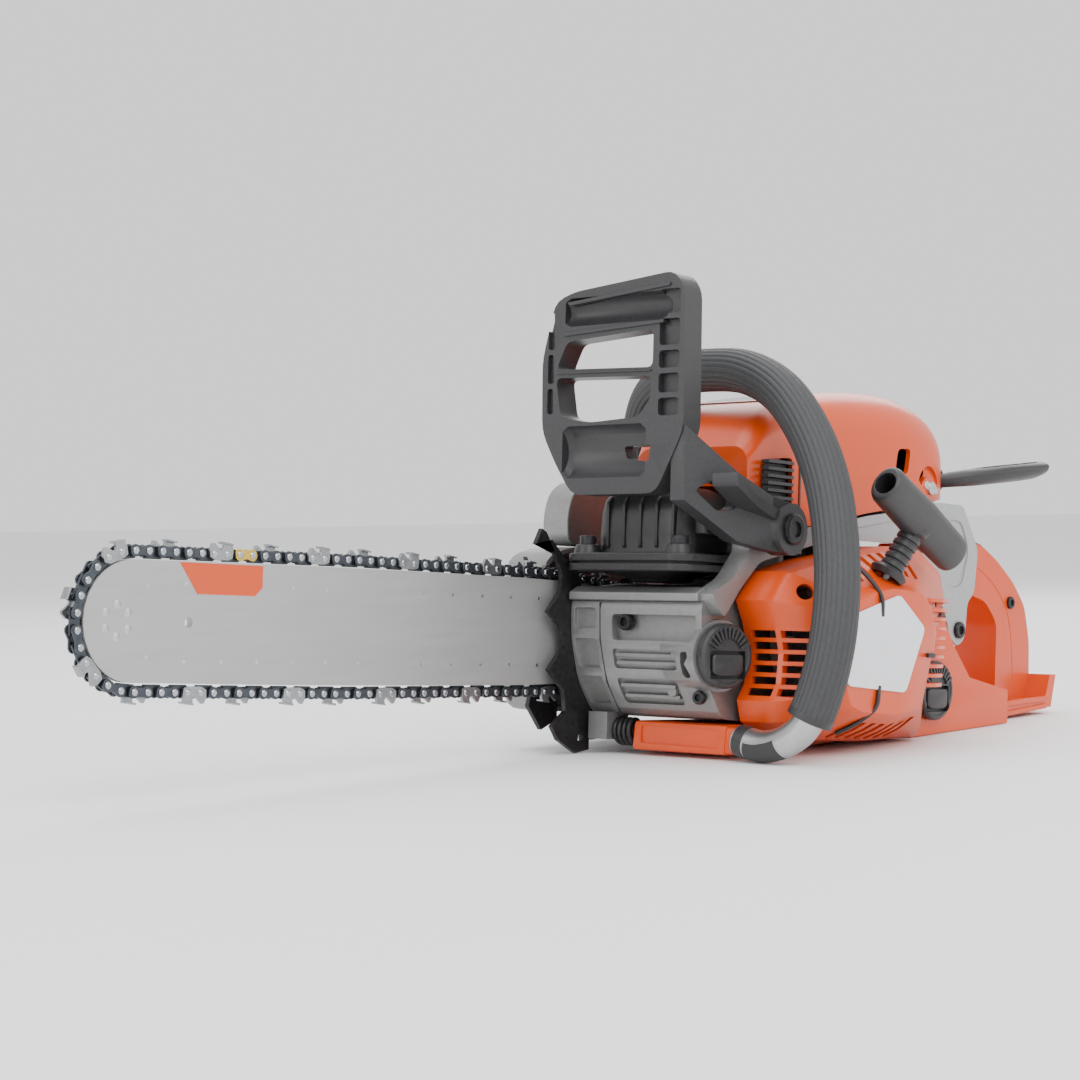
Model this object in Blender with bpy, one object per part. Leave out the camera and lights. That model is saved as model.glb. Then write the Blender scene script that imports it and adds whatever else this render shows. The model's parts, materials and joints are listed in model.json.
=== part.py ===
"""Petrol chainsaw with a 15 inch bar, built as separate sub-parts.

Design frame, in millimetres: X runs from the bar's nose to the rear handle, Y from the
starter side to the clutch side, Z up. The origin is on the bar's centre line, at the
crankcase's front face. The empty "saw" tips this frame nose-up, so that the saw stands on
its rear guard, its front handle and its bumper, and puts the origin under its centre.
"""
import math

import bpy
import bmesh
from mathutils import Matrix, Vector
from mathutils.geometry import tessellate_polygon

MM = 0.001
GAP = 0.3                     # clearance between touching pieces

# Standing line: the surface that the saw stands on, seen in the design frame
GROUND_SLOPE = 0.066          # rise of that surface towards the rear
GROUND_DROP = -71.5           # its height at X = 0

# Bar and chain
BAR_THICK = 4.5
BAR_HALF = 30.5               # half height near the root
BAR_BELLY = 31.5              # half height at mid length
NOSE_R = 30.3
NOSE_X = -321.0
NOSE_BORE = 9.0
SLOT_HALF = 4.2
CHAIN_HALF_W = 4.4
CHAIN_IN = 0.4                # chain band: from this far off the bar's edge
CHAIN_OUT = 11.0              # to this far
SPROCKET_R = 19.0

# Crank train
CRANK_X = 100.0
CRANK_Z = 0.0
CRANK_R = 7.5
THROW = 10.0
PIN_R = 5.0
CYL_Y = -60.0                 # the cylinder's axis
ROD_LENGTH = 52.0
BORE_R = 22.1
CHAMBER_R = 31.0

# Casings
PARTING_Y = -34.0
CASE_LEFT_Y = -108.0
CASE_RIGHT_Y = -12.0
COVER_WALL = 3.0
STARTER_FACE_Y = -168.0
STARTER_BASE_Y = -112.0

# Handles
TUBE_R = 9.0
GRIP_R = 13.0
HANDLE_Y = -80.0
HANDLE_HALF_W = 16.0

# Joint axes
GUARD_PIVOT = (46.0, -131.0, 62.0)
TRIGGER_PIVOT = (283.0, -80.0, 36.0)
LOCKOUT_PIVOT = (306.0, -80.0, 58.0)
LEVER_PIVOT = (269.0, -90.0, 106.0)
OIL_CAP = Vector((14.0, -112.0, -11.0))
OIL_CAP_FACING = Vector((-0.22, -0.975, 0.0)).normalized()
FUEL_CAP = Vector((209.0, -128.3, -30.0))
FUEL_CAP_FACING = Vector((0.0, -1.0, 0.0))
CAP_R = 18.5
ROPE_EXIT = Vector((110.0, -160.0, 38.5))
ROPE_DIR = Vector((0.415, -0.300, 0.860)).normalized()

# Finishes: colour, roughness, metallic
ORANGE = ((0.88, 0.13, 0.02), 0.30, 0.0)
CAST = ((0.36, 0.36, 0.36), 0.45, 0.8)
STEEL = ((0.55, 0.55, 0.56), 0.30, 1.0)
DARK_STEEL = ((0.10, 0.10, 0.11), 0.40, 0.9)
BRIGHT = ((0.75, 0.75, 0.76), 0.25, 1.0)
BLACK = ((0.015, 0.015, 0.015), 0.50, 0.0)
DARK = ((0.06, 0.06, 0.06), 0.50, 0.0)
RUBBER = ((0.07, 0.07, 0.075), 0.65, 0.0)
PALE = ((0.62, 0.63, 0.64), 0.35, 0.0)
BRASS = ((0.65, 0.50, 0.22), 0.35, 1.0)


# ---------------------------------------------------------------- shape helpers

def arc(centre, radius, start, end, steps):
    """Points of an arc in a plane, angles in degrees."""
    points = []
    for i in range(steps + 1):
        a = math.radians(start + (end - start) * i / steps)
        points.append((centre[0] + radius * math.cos(a), centre[1] + radius * math.sin(a)))
    return points


def circle(centre, radius, steps=16):
    """Points of a full circle in a plane."""
    return arc(centre, radius, 0, 360 * (steps - 1) / steps, steps - 1)


def rounded(outline, radius, steps=3):
    """The same outline with its corners turned into arcs."""
    points = []
    count = len(outline)
    for i, corner in enumerate(outline):
        corner = Vector(corner)
        back = Vector(outline[i - 1]) - corner
        ahead = Vector(outline[(i + 1) % count]) - corner
        reach = min(radius, 0.45 * back.length, 0.45 * ahead.length)
        start = corner + back.normalized() * reach
        end = corner + ahead.normalized() * reach
        for k in range(steps + 1):
            t = k / steps
            points.append(tuple(start * (1 - t) ** 2 + corner * 2 * t * (1 - t) + end * t ** 2))
    return points


def lift(point, axis, level):
    """A plane point placed in space at a level along the named axis."""
    u, v = point
    if axis == "X":
        return Vector((level, u, v))
    if axis == "Y":
        return Vector((u, level, v))
    return Vector((u, v, level))


def plate(outline, axis, low, high, holes=()):
    """A flat outline, with any holes, given a thickness along an axis."""
    loops = [list(outline)] + [list(hole) for hole in holes]
    bm = bmesh.new()
    flat = [Vector((p[0], p[1], 0.0)) for loop in loops for p in loop]
    lower = [bm.verts.new(lift(p, axis, low)) for loop in loops for p in loop]
    upper = [bm.verts.new(lift(p, axis, high)) for loop in loops for p in loop]
    polygons = [[Vector((p[0], p[1], 0.0)) for p in loop] for loop in loops]
    if len(loops) == 1:
        bm.faces.new(lower)
        bm.faces.new(upper)
    else:
        for tri in tessellate_polygon(polygons):
            area = (flat[tri[1]] - flat[tri[0]]).cross(flat[tri[2]] - flat[tri[0]]).length
            if area > 1e-6:
                bm.faces.new([lower[i] for i in tri])
                bm.faces.new([upper[i] for i in tri])
    first = 0
    for loop in loops:
        count = len(loop)
        for i in range(count):
            a = first + i
            b = first + (i + 1) % count
            bm.faces.new((lower[a], lower[b], upper[b], upper[a]))
        first += count
    return bm


def loft(sections):
    """A closed solid through loops of points, all with the same number of points."""
    bm = bmesh.new()
    rings = [[bm.verts.new(p) for p in section] for section in sections]
    for one, two in zip(rings, rings[1:]):
        count = len(one)
        for i in range(count):
            j = (i + 1) % count
            bm.faces.new((one[i], one[j], two[j], two[i]))
    bm.faces.new(rings[0])
    bm.faces.new(rings[-1])
    return bm


def cup(outer, inner):
    """A shell that is open at its first section and closed at its last one."""
    bm = bmesh.new()
    sides = [[[bm.verts.new(p) for p in section] for section in loops] for loops in (outer, inner)]
    for rings in sides:
        for one, two in zip(rings, rings[1:]):
            for i in range(len(one)):
                j = (i + 1) % len(one)
                bm.faces.new((one[i], one[j], two[j], two[i]))
        bm.faces.new(rings[-1])
    rim, lip = sides[0][0], sides[1][0]
    for i in range(len(rim)):
        j = (i + 1) % len(rim)
        bm.faces.new((rim[i], rim[j], lip[j], lip[i]))
    return bm


def turned(profile, centre, axis, segments=24, closed=False):
    """A turned solid. The profile holds (radius, distance along the axis) pairs."""
    axis = Vector(axis).normalized()
    side = axis.orthogonal().normalized()
    up = axis.cross(side)
    centre = Vector(centre)
    bm = bmesh.new()
    rings = []
    for radius, along in profile:
        if radius == 0:
            rings.append([bm.verts.new(centre + axis * along)])
            continue
        ring = []
        for i in range(segments):
            a = 2 * math.pi * i / segments
            ring.append(bm.verts.new(
                centre + axis * along + (side * math.cos(a) + up * math.sin(a)) * radius))
        rings.append(ring)
    pairs = list(zip(rings, rings[1:]))
    if closed:
        pairs.append((rings[-1], rings[0]))
    for one, two in pairs:
        for i in range(segments):
            j = (i + 1) % segments
            corners = [one[i % len(one)], one[j % len(one)], two[j % len(two)], two[i % len(two)]]
            unique = list(dict.fromkeys(corners))
            bm.faces.new(unique)
    return bm


def disc(centre, axis, radius, low, high, segments=24, bore=0.0):
    """A round block between two distances along its axis, with or without a bore."""
    if bore:
        profile = [(bore, low), (radius, low), (radius, high), (bore, high)]
        return turned(profile, centre, axis, segments, closed=True)
    return turned([(0, low), (radius, low), (radius, high), (0, high)], centre, axis, segments)


def box(low, high):
    """A block between two corners."""
    outline = [(low[0], low[1]), (high[0], low[1]), (high[0], high[1]), (low[0], high[1])]
    return plate(outline, "Z", low[2], high[2])


def smooth_path(points, per_span=2):
    """A Catmull-Rom curve through the given points."""
    points = [Vector(p) for p in points]
    ends = [points[0] * 2 - points[1]] + points + [points[-1] * 2 - points[-2]]
    path = []
    for i in range(1, len(ends) - 2):
        a, b, c, d = ends[i - 1:i + 3]
        for k in range(per_span):
            t = k / per_span
            path.append(0.5 * (2 * b + (c - a) * t + (2 * a - 5 * b + 4 * c - d) * t ** 2
                               + (3 * b - a - 3 * c + d) * t ** 3))
    path.append(points[-1])
    return path


def swept(path, radius, sides=12, bore=0.0):
    """A round tube along a path, solid or with a bore right through."""
    bm = bmesh.new()
    outer = []
    inner = []
    normal = None
    for i, point in enumerate(path):
        ahead = path[min(i + 1, len(path) - 1)] - path[max(i - 1, 0)]
        ahead.normalize()
        if normal is None:
            normal = ahead.orthogonal().normalized()
        normal = (normal - ahead * normal.dot(ahead)).normalized()
        other = ahead.cross(normal)
        spokes = []
        for k in range(sides):
            a = 2 * math.pi * k / sides
            spokes.append(normal * math.cos(a) + other * math.sin(a))
        outer.append([bm.verts.new(point + s * radius) for s in spokes])
        if bore:
            inner.append([bm.verts.new(point + s * bore) for s in spokes])
    for rings in (outer, inner):
        for one, two in zip(rings, rings[1:]):
            for k in range(sides):
                j = (k + 1) % sides
                bm.faces.new((one[k], one[j], two[j], two[k]))
    for end in (0, -1):
        if not bore:
            bm.faces.new(outer[end])
            continue
        for k in range(sides):
            j = (k + 1) % sides
            bm.faces.new((outer[end][k], outer[end][j], inner[end][j], inner[end][k]))
    return bm


def arch(x, left, right, low_left, low_right, top, corner, steps=4):
    """A loop across the saw: flat sides and a top with round corners."""
    loop = [(left, low_left)]
    loop += [(left + corner + corner * math.cos(a), top - corner + corner * math.sin(a))
             for a in (math.pi - 0.5 * math.pi * k / steps for k in range(steps + 1))]
    loop += [(right - corner + corner * math.cos(a), top - corner + corner * math.sin(a))
             for a in (0.5 * math.pi * (1 - k / steps) for k in range(steps + 1))]
    loop.append((right, low_right))
    return [Vector((x, y, z)) for y, z in loop]


# ---------------------------------------------------------------- object helpers

for old in list(bpy.data.objects):
    bpy.data.objects.remove(old, do_unlink=True)

SAW = bpy.data.objects.new("saw", None)
bpy.context.scene.collection.objects.link(SAW)


def joint_axis(name, point, parent=SAW):
    """An empty on a joint's axis, which the moving pieces are parented to."""
    empty = bpy.data.objects.new(name, None)
    bpy.context.scene.collection.objects.link(empty)
    empty.parent = parent
    offset = Vector(point) * MM
    if parent is not SAW:
        offset = offset - parent.location
    empty.location = offset
    return empty


def plain_object(name, bm):
    """An object from a bmesh in design millimetres, with its faces pointing out."""
    bmesh.ops.recalc_face_normals(bm, faces=bm.faces[:])
    mesh = bpy.data.meshes.new(name)
    bm.to_mesh(mesh)
    bm.free()
    obj = bpy.data.objects.new(name, mesh)
    bpy.context.scene.collection.objects.link(obj)
    return obj


def boolean(target, bm, operation):
    """Join a shape to an object, or cut it out of it."""
    tool = plain_object("tool", bm)
    modifier = target.modifiers.new(operation, "BOOLEAN")
    modifier.operation = operation
    modifier.solver = "EXACT"
    modifier.object = tool
    bpy.context.view_layer.update()
    evaluated = target.evaluated_get(bpy.context.evaluated_depsgraph_get())
    result = bpy.data.meshes.new_from_object(evaluated)
    target.modifiers.clear()
    target.data = result
    bpy.data.objects.remove(tool, do_unlink=True)


def part(name, bm, finish, joint=None, join=(), cut=(), smooth=35.0):
    """A finished sub-part: its shape, its joins and cuts, its material and its place."""
    obj = plain_object(name, bm)
    for extra in join:
        boolean(obj, extra, "UNION")
    for extra in cut:
        boolean(obj, extra, "DIFFERENCE")
    obj.data.name = name
    obj.data.transform(Matrix.Scale(MM, 4))
    if joint is not None:
        place = joint.location.copy()
        if joint.parent is not SAW:
            place += joint.parent.location
        obj.data.transform(Matrix.Translation(-place))
    obj.parent = joint or SAW
    colour, roughness, metallic = finish
    material = bpy.data.materials.new(name)
    material.use_nodes = True
    shader = material.node_tree.nodes["Principled BSDF"]
    shader.inputs["Base Color"].default_value = (*colour, 1.0)
    shader.inputs["Roughness"].default_value = roughness
    shader.inputs["Metallic"].default_value = metallic
    obj.data.materials.clear()
    obj.data.materials.append(material)
    obj.data.shade_smooth()
    obj.data.set_sharp_from_angle(angle=math.radians(smooth))
    return obj


# ---------------------------------------------------------------- bar and chain

def belt(offset):
    """The loop around the bar and the drive sprocket, this far off the bar's edge."""
    lean = math.degrees(math.asin((BAR_HALF - SPROCKET_R) / CRANK_X))
    loop = arc((NOSE_X, 0), NOSE_R + offset, 90, 270, 14)
    loop.append((-170.0, -(BAR_BELLY + offset)))
    loop.append((0.0, -(BAR_HALF + offset)))
    loop += arc((CRANK_X, CRANK_Z), SPROCKET_R + offset, -90 + lean, 90 - lean, 12)
    loop.append((0.0, BAR_HALF + offset))
    loop.append((-170.0, BAR_BELLY + offset))
    return loop


def bar_and_chain():
    edge = arc((NOSE_X, 0), NOSE_R, 90, 270, 14)
    edge += [(-170.0, -BAR_BELLY), (0.0, -BAR_HALF), (78.0, -20.0)]
    edge += [(78.0, 20.0), (0.0, BAR_HALF), (-170.0, BAR_BELLY)]
    slot = arc((66, 0), SLOT_HALF, -90, 90, 6) + arc((20, 0), SLOT_HALF, 90, 270, 6)
    holes = [slot, circle((44, -17), 3.4, 10), circle((-285, 0), 2.6, 10)]
    half = BAR_THICK / 2
    nose_slot = disc((NOSE_X, 0, 0), (0, 1, 0), NOSE_R + 2, -1.0, 1.0, 32, bore=NOSE_BORE)
    part("guide_bar", plate(edge, "Y", -half, half, holes), STEEL, cut=[nose_slot])

    nose_axis = joint_axis("nose_sprocket_axis", (NOSE_X, 0, 0))
    teeth = []
    for i in range(40):
        radius = NOSE_R - 0.8 if i % 4 in (0, 1) else NOSE_R - 5.5
        a = math.radians(9 * i)
        teeth.append((NOSE_X + radius * math.cos(a), radius * math.sin(a)))
    star = plate(teeth, "Y", -0.7, 0.7, [circle((NOSE_X, 0), NOSE_BORE + GAP, 20)])
    part("nose_sprocket", star, DARK_STEEL, nose_axis)

    band = plate(belt(CHAIN_OUT), "Y", -CHAIN_HALF_W, CHAIN_HALF_W, [belt(CHAIN_IN)])
    part("saw_chain", band, DARK_STEEL)


# ---------------------------------------------------------------- clutch side

def clutch_side(crank_axis, drum_axis):
    spin = (0, 1, 0)
    centre = (CRANK_X, 0, CRANK_Z)
    rim = disc(centre, spin, SPROCKET_R - 0.4, -5.5, 5.5, 28, bore=CRANK_R + 3)
    part("rim_sprocket", rim, STEEL, drum_axis)
    drum = [(CRANK_R + 3, 5.8), (34.0, 5.8), (34.0, 26.0), (31.5, 26.0),
            (31.5, 8.3), (CRANK_R + 3, 8.3)]
    part("clutch_drum", turned(drum, centre, spin, 24, closed=True), STEEL, drum_axis)
    hub = disc(centre, spin, 30.0, 10.0, 23.0, 28, bore=CRANK_R + GAP)
    part("clutch_hub", hub, DARK_STEEL, crank_axis)
    band = [(34.8, 10.0), (36.3, 10.0), (36.3, 22.0), (34.8, 22.0)]
    part("brake_band", turned(band, centre, spin, 20, closed=True), DARK_STEEL)
    part("oil_pump", box((84, -11.7, -36), (116, -5.8, -20.5)), BRASS)

    outline = rounded([(2, -47), (2, 44), (26, 52), (128, 52), (156, 30), (156, -34), (132, -50)],
                      16, 4)
    inner = rounded([(5, -44), (5, 41.5), (27, 49), (127, 49), (153, 29), (153, -33), (131, -47)],
                    14, 4)
    nut_x = (28.0, 58.0)
    holes = [disc((x, 0, 0), spin, 4.6, 20, 60, 12) for x in nut_x]
    part("clutch_cover", plate(outline, "Y", 12.0, 42.0), CAST,
         cut=[plate(inner, "Y", 0.0, 39.0)] + holes)
    brake_cover = [(27, 53), (25, 70), (30, 85), (42, 93), (62, 93), (76, 82), (84, 66), (88, 53)]
    part("brake_housing", plate(rounded(brake_cover, 8), "Y", 14.0, 34.0), CAST)

    for label, x in zip(("front", "rear"), nut_x):
        part("bar_stud_" + label, disc((x, 0, 0), spin, 3.9, -20.0, 50.0, 12), STEEL)
        nut = plate([(x + p[0], p[1]) for p in circle((0, 0), 8.0, 6)], "Y",
                    42.3, 49.0, [[(x + p[0], p[1]) for p in circle((0, 0), 4.2, 12)]])
        part("bar_nut_" + label, nut, DARK_STEEL)
    pin = disc((44, 0, -17), spin, 3.0, -2.2, 9.0, 10)
    screw = disc((17, 8, -17), (1, 0, 0), 2.6, 0.0, 34.0, 10)
    part("chain_tensioner", pin, STEEL, join=[screw])

    inner_edge = [(-32, 51), (-27, 60), (-23, 58), (-15, 46), (-8, 34), (-9, 24), (-20, 12),
                  (-8, 4), (-5, -8), (-18, -22), (-4, -34), (-2, -46), (-14, -55), (-8, -63),
                  (8, -70.9), (20, -69.0), (20, -58), (24, -46), (12, -26), (11, 24), (8, 32),
                  (-2, 40), (-18, 54)]
    part("bumper_inner", plate(inner_edge, "Y", -11.7, -8.7, [circle((12, -62), 2.6, 10)]),
         DARK_STEEL)
    outer_edge = [(-10, 34), (-17, 44), (-12, 24), (-20, 12), (-9, 4), (-7, -8), (-18, -20),
                  (-8, -30), (-12, -44), (0, -58), (14, -52), (14, 20), (2, 40)]
    part("bumper_outer", plate(outer_edge, "Y", 8.6, 11.6), DARK_STEEL)
    catcher = rounded([(24, -64), (60, -60), (60, -52), (24, -56)], 3)
    part("chain_catcher", plate(catcher, "Y", -8.0, 6.0), PALE)


# ---------------------------------------------------------------- crankcase and engine

def crankcase():
    side = [(0, 19), (1, -4), (8, -28), (22, -47), (60, -49.5), (160, -49.5), (172, -30),
            (172, 6), (150, 30), (40, 30), (8, 26)]
    outline = rounded(side, 5, 2)

    def bore():
        return disc((CRANK_X, 0, CRANK_Z), (0, 1, 0), CRANK_R + GAP, -150, 10, 20)

    chamber = disc((CRANK_X, 0, CRANK_Z), (0, 1, 0), CHAMBER_R, -86, PARTING_Y + 5, 28)
    throat = disc((CRANK_X, CYL_Y, 0), (0, 0, 1), BORE_R, 0, 40, 24)
    arm = [(-2, 24), (18, 33), (34, 50), (32, 62), (38, 74), (50, 77), (60, 72), (64, 60),
           (100, 67), (100, 56), (76, 50.5), (44, 43.5), (26, 28), (10, 10)]
    part("crankcase_left", plate(outline, "Y", CASE_LEFT_Y, PARTING_Y - GAP), CAST,
         join=[plate(rounded(arm, 4, 2), "Y", -116.5, CASE_LEFT_Y + 4),
               disc(OIL_CAP, OIL_CAP_FACING, CAP_R + 2, -30.0, -GAP, 24)],
         cut=[chamber, throat, bore()])

    pad = rounded([(14, -22), (14, 22), (72, 16), (72, -16)], 6, 2)
    studs = [disc((x, 0, 0), (0, 1, 0), 3.9 + GAP, -21, 0, 12) for x in (28, 58)]
    foot = box((14, -30, -62), (34, -16, -46))
    part("crankcase_right", plate(outline, "Y", PARTING_Y, CASE_RIGHT_Y), CAST,
         join=[plate(pad, "Y", CASE_RIGHT_Y - 2, -2.6), foot], cut=[*studs, bore()])


def crank_train(crank_axis):
    spin = (0, 1, 0)
    centre = (CRANK_X, 0, CRANK_Z)
    left = [(0, -141), (CRANK_R, -141), (CRANK_R, -81), (28, -81), (28, -68), (0, -68)]
    right = [(0, -52), (28, -52), (28, -39), (CRANK_R, -39), (CRANK_R, 25), (0, 25)]
    pin = disc((CRANK_X, 0, CRANK_Z + THROW), spin, PIN_R, -70.0, -50.0, 16)
    part("crankshaft", turned(left, centre, spin, 18), STEEL, crank_axis,
         join=[pin, turned(right, centre, spin, 18)])

    wheel = [(CRANK_R + GAP, -128), (20, -128), (20, -124), (30, -121), (42, -121), (42, -114),
             (CRANK_R + GAP, -114)]
    vanes = []
    for i in range(8):
        a = 2 * math.pi * i / 8
        turn = Matrix.Rotation(a, 4, "Y")
        vane = box((24, -130, -1.2), (40, -119, 1.2))
        bmesh.ops.transform(vane, matrix=Matrix.Translation(Vector(centre)) @ turn, verts=vane.verts)
        vanes.append(vane)
    part("flywheel", turned(wheel, centre, spin, 24, closed=True), CAST, crank_axis, join=vanes)
    nut = plate([(CRANK_X + p[0], CRANK_Z + p[1]) for p in circle((0, 0), 11.0, 6)], "Y",
                -135.0, -128.3, [[(CRANK_X + p[0], p[1]) for p in circle((0, 0), CRANK_R + GAP, 14)]])
    part("flywheel_nut", nut, DARK_STEEL, crank_axis)

    rod_axis = joint_axis("rod_axis", (CRANK_X, CYL_Y, CRANK_Z + THROW), crank_axis)
    low = (CRANK_X, CRANK_Z + THROW)
    high = (CRANK_X, CRANK_Z + THROW + ROD_LENGTH)
    outline = arc(low, 8.6, 150, 390, 10) + arc(high, 6.0, 30, 150, 4)
    rod = plate(outline, "Y", CYL_Y - 5, CYL_Y + 5, [circle(low, PIN_R + GAP, 14),
                                                     circle(high, 3.6, 12)])
    part("connecting_rod", rod, STEEL, rod_axis)
    part("wrist_pin", disc((high[0], CYL_Y, high[1]), spin, 3.3, -9.0, 9.0, 12), BRIGHT, rod_axis)

    top = CRANK_Z + THROW + ROD_LENGTH
    piston = [(0, top + 20), (BORE_R - GAP, top + 20), (BORE_R - GAP, top - 18),
              (17.6, top - 18), (17.6, top + 15), (0, top + 15)]
    part("piston", turned(piston, (CRANK_X, CYL_Y, 0), (0, 0, 1), 28), BRIGHT)
    profile = [(BORE_R, 30.3), (34, 30.3), (34, 34)]
    level = 38.0
    while level < 104:
        profile += [(27, level - 3), (27, level), (38, level), (38, level + 2.4), (27, level + 2.4)]
        level += 13.0
    profile += [(27, 108), (20, 112), (7, 112), (7, 96), (BORE_R, 92)]
    part("cylinder", turned(profile, (CRANK_X, CYL_Y, 0), (0, 0, 1), 20, closed=True), CAST)
    plug = [(0, 99), (6.6, 99), (6.6, 112.3), (9.5, 112.3), (9.5, 118), (5, 118), (5, 130), (0, 130)]
    part("spark_plug", turned(plug, (CRANK_X, CYL_Y, 0), (0, 0, 1), 16), PALE)
    cap = [(0, 137), (8, 137), (10, 134), (10, 119), (5.4, 119), (5.4, 131), (0, 131)]
    part("spark_plug_cap", turned(cap, (CRANK_X, CYL_Y, 0), (0, 0, 1), 16), RUBBER)


def engine_parts():
    flange = rounded([(-12, -96), (-4, -104), (48, -104), (61, -94), (61, -22), (48, -12),
                      (-4, -12), (-12, -22)], 6, 2)
    body = []
    for z, shrink in ((46, 0), (66, 1), (78, 5), (86, 16)):
        loop = rounded([(4 + shrink, -92 + shrink), (56 - shrink, -92 + shrink),
                        (56 - shrink, -24 - shrink), (4 + shrink, -24 - shrink)], 14 - shrink / 4)
        body.append([lift(p, "Z", z) for p in loop])
    funnel = []
    for z, half in ((30.5, 14), (38, 26)):
        funnel.append([lift(p, "Z", z) for p in
                       rounded([(26 - half, -58 - half), (26 + half, -58 - half),
                                (26 + half, -58 + half), (26 - half, -58 + half)], 10)])
    part("muffler", plate(flange, "Z", 36.0, 47.0), BLACK, join=[loft(body), loft(funnel)])
    for label, y in (("left", -92.0), ("right", -24.0)):
        part("muffler_bolt_" + label, disc((0, y, 0), (0, 0, 1), 5.0, 47.3, 57.0, 14), DARK_STEEL)

    part("intake_boot", disc((0, CYL_Y, 52), (1, 0, 0), 15.0, 138.5, 152.0, 20, bore=9.0), RUBBER)
    part("carburettor", box((152.3, -80, 36), (182, -42, 68)), BRIGHT,
         cut=[disc((0, CYL_Y, 52), (1, 0, 0), 9.0, 150, 184, 16)])
    elbow = rounded([(188, -98), (244, -98), (244, -26), (188, -26)], 10)
    part("air_filter", plate(elbow, "Z", 72.0, 124.0), BLACK,
         join=[box((182.3, -74, 42), (200, -46, 74))])
    part("ignition_module", box((140, -124, 36), (172, -112.3, 46)), BLACK)


# ---------------------------------------------------------------- starter side

STARTER_RIM = [(30, -36), (37, -26), (39, -8), (34, 8), (27, 21), (42, 38), (76, 46), (121, 53),
               (150, 57), (184, 56), (206, 44), (212, 28), (202, 16), (187, 9), (182, -58),
               (120, -60), (52, -58), (34, -48)]
STARTER_FACE = [(58, -31), (56.8, -22), (56, -6), (57, 6), (59, 14), (67, 22), (84, 28), (104, 31.5),
                (122, 31), (138, 28), (147, 18), (152, 4), (150, -6), (147, -13), (138, -38),
                (112, -44), (74, -42), (62, -38)]


def starter_section(y, blend, inset=0.0):
    """The starter cover's outline between its rim (0) and its outer face (1)."""
    middle = Vector((104, -3))
    loop = []
    for rim, face in zip(STARTER_RIM, STARTER_FACE):
        point = Vector(rim).lerp(Vector(face), blend)
        point += (middle - point).normalized() * inset
        loop.append(lift(point, "Y", y))
    return loop


def starter_side():
    spin = (0, 1, 0)
    centre = (CRANK_X, 0, CRANK_Z)
    outer = [starter_section(STARTER_BASE_Y, 0), starter_section(-134, 0),
             starter_section(-152, 0.5), starter_section(STARTER_FACE_Y, 1)]
    inner = [starter_section(STARTER_BASE_Y, 0, 5), starter_section(-133, 0, 5),
             starter_section(-150, 0.48, 5), starter_section(STARTER_FACE_Y + 3, 0.95, 4)]
    rope_hole = disc(ROPE_EXIT, ROPE_DIR, 3.2, -16, 14, 12)
    grille = [box((20, -157, z), (53, -136, z + 5.5)) for z in (-29.3, -19.3, -9.3, 0.7)]
    part("starter_cover", cup(outer, inner), ORANGE, cut=[rope_hole, *grille])
    post = disc(centre, spin, 4.5, -164.7, -141.4, 12)
    part("recoil_spring_case", disc(centre, spin, 24.0, -164.6, -156.0, 24), DARK, join=[post])
    pulley_axis = joint_axis("pulley_axis", centre)
    groove = [(4.9, -141.5), (21, -141.5), (21, -143.5), (17, -145.5), (17, -150.5),
              (21, -152.5), (21, -155.0), (4.9, -155.0)]
    part("starter_pulley", turned(groove, centre, spin, 16, closed=True), DARK, pulley_axis)
    rope = [ROPE_EXIT + ROPE_DIR * t for t in (-16, -6, 3.5)]
    part("starter_rope", swept(rope, 1.8, 8), PALE)

    slide = joint_axis("starter_handle_axis", ROPE_EXIT)
    along = (Vector((0.954, 0.0, -0.300)) - ROPE_DIR * Vector((0.954, 0, -0.3)).dot(ROPE_DIR))
    along.normalize()
    across = ROPE_DIR.cross(along)
    middle = ROPE_EXIT + ROPE_DIR * 38
    grip = []
    for t, half in ((-45, 11.5), (-30, 12.0), (0, 12.5), (30, 12.0), (45, 11.5)):
        grip.append([middle + along * t + ROPE_DIR * (half * math.cos(a)) +
                     across * (0.78 * half * math.sin(a))
                     for a in (2 * math.pi * k / 16 for k in range(16))])
    stem = disc(ROPE_EXIT, ROPE_DIR, 7.0, 4.0, 34.0, 14)
    hollows = [disc(middle, along, 6.0, -50, -24, 12), disc(middle, along, 6.0, 24, 50, 12)]
    part("starter_handle", loft(grip), DARK, slide, join=[stem], cut=hollows)

    blank = [(57, -24), (57, 12), (112, 25), (136, 6), (117, -27)]
    part("side_plate", plate(rounded(blank, 3, 2), "Y", STARTER_FACE_Y - 1.2,
                             STARTER_FACE_Y - GAP), PALE)


# ---------------------------------------------------------------- guard, handles and tank

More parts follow.
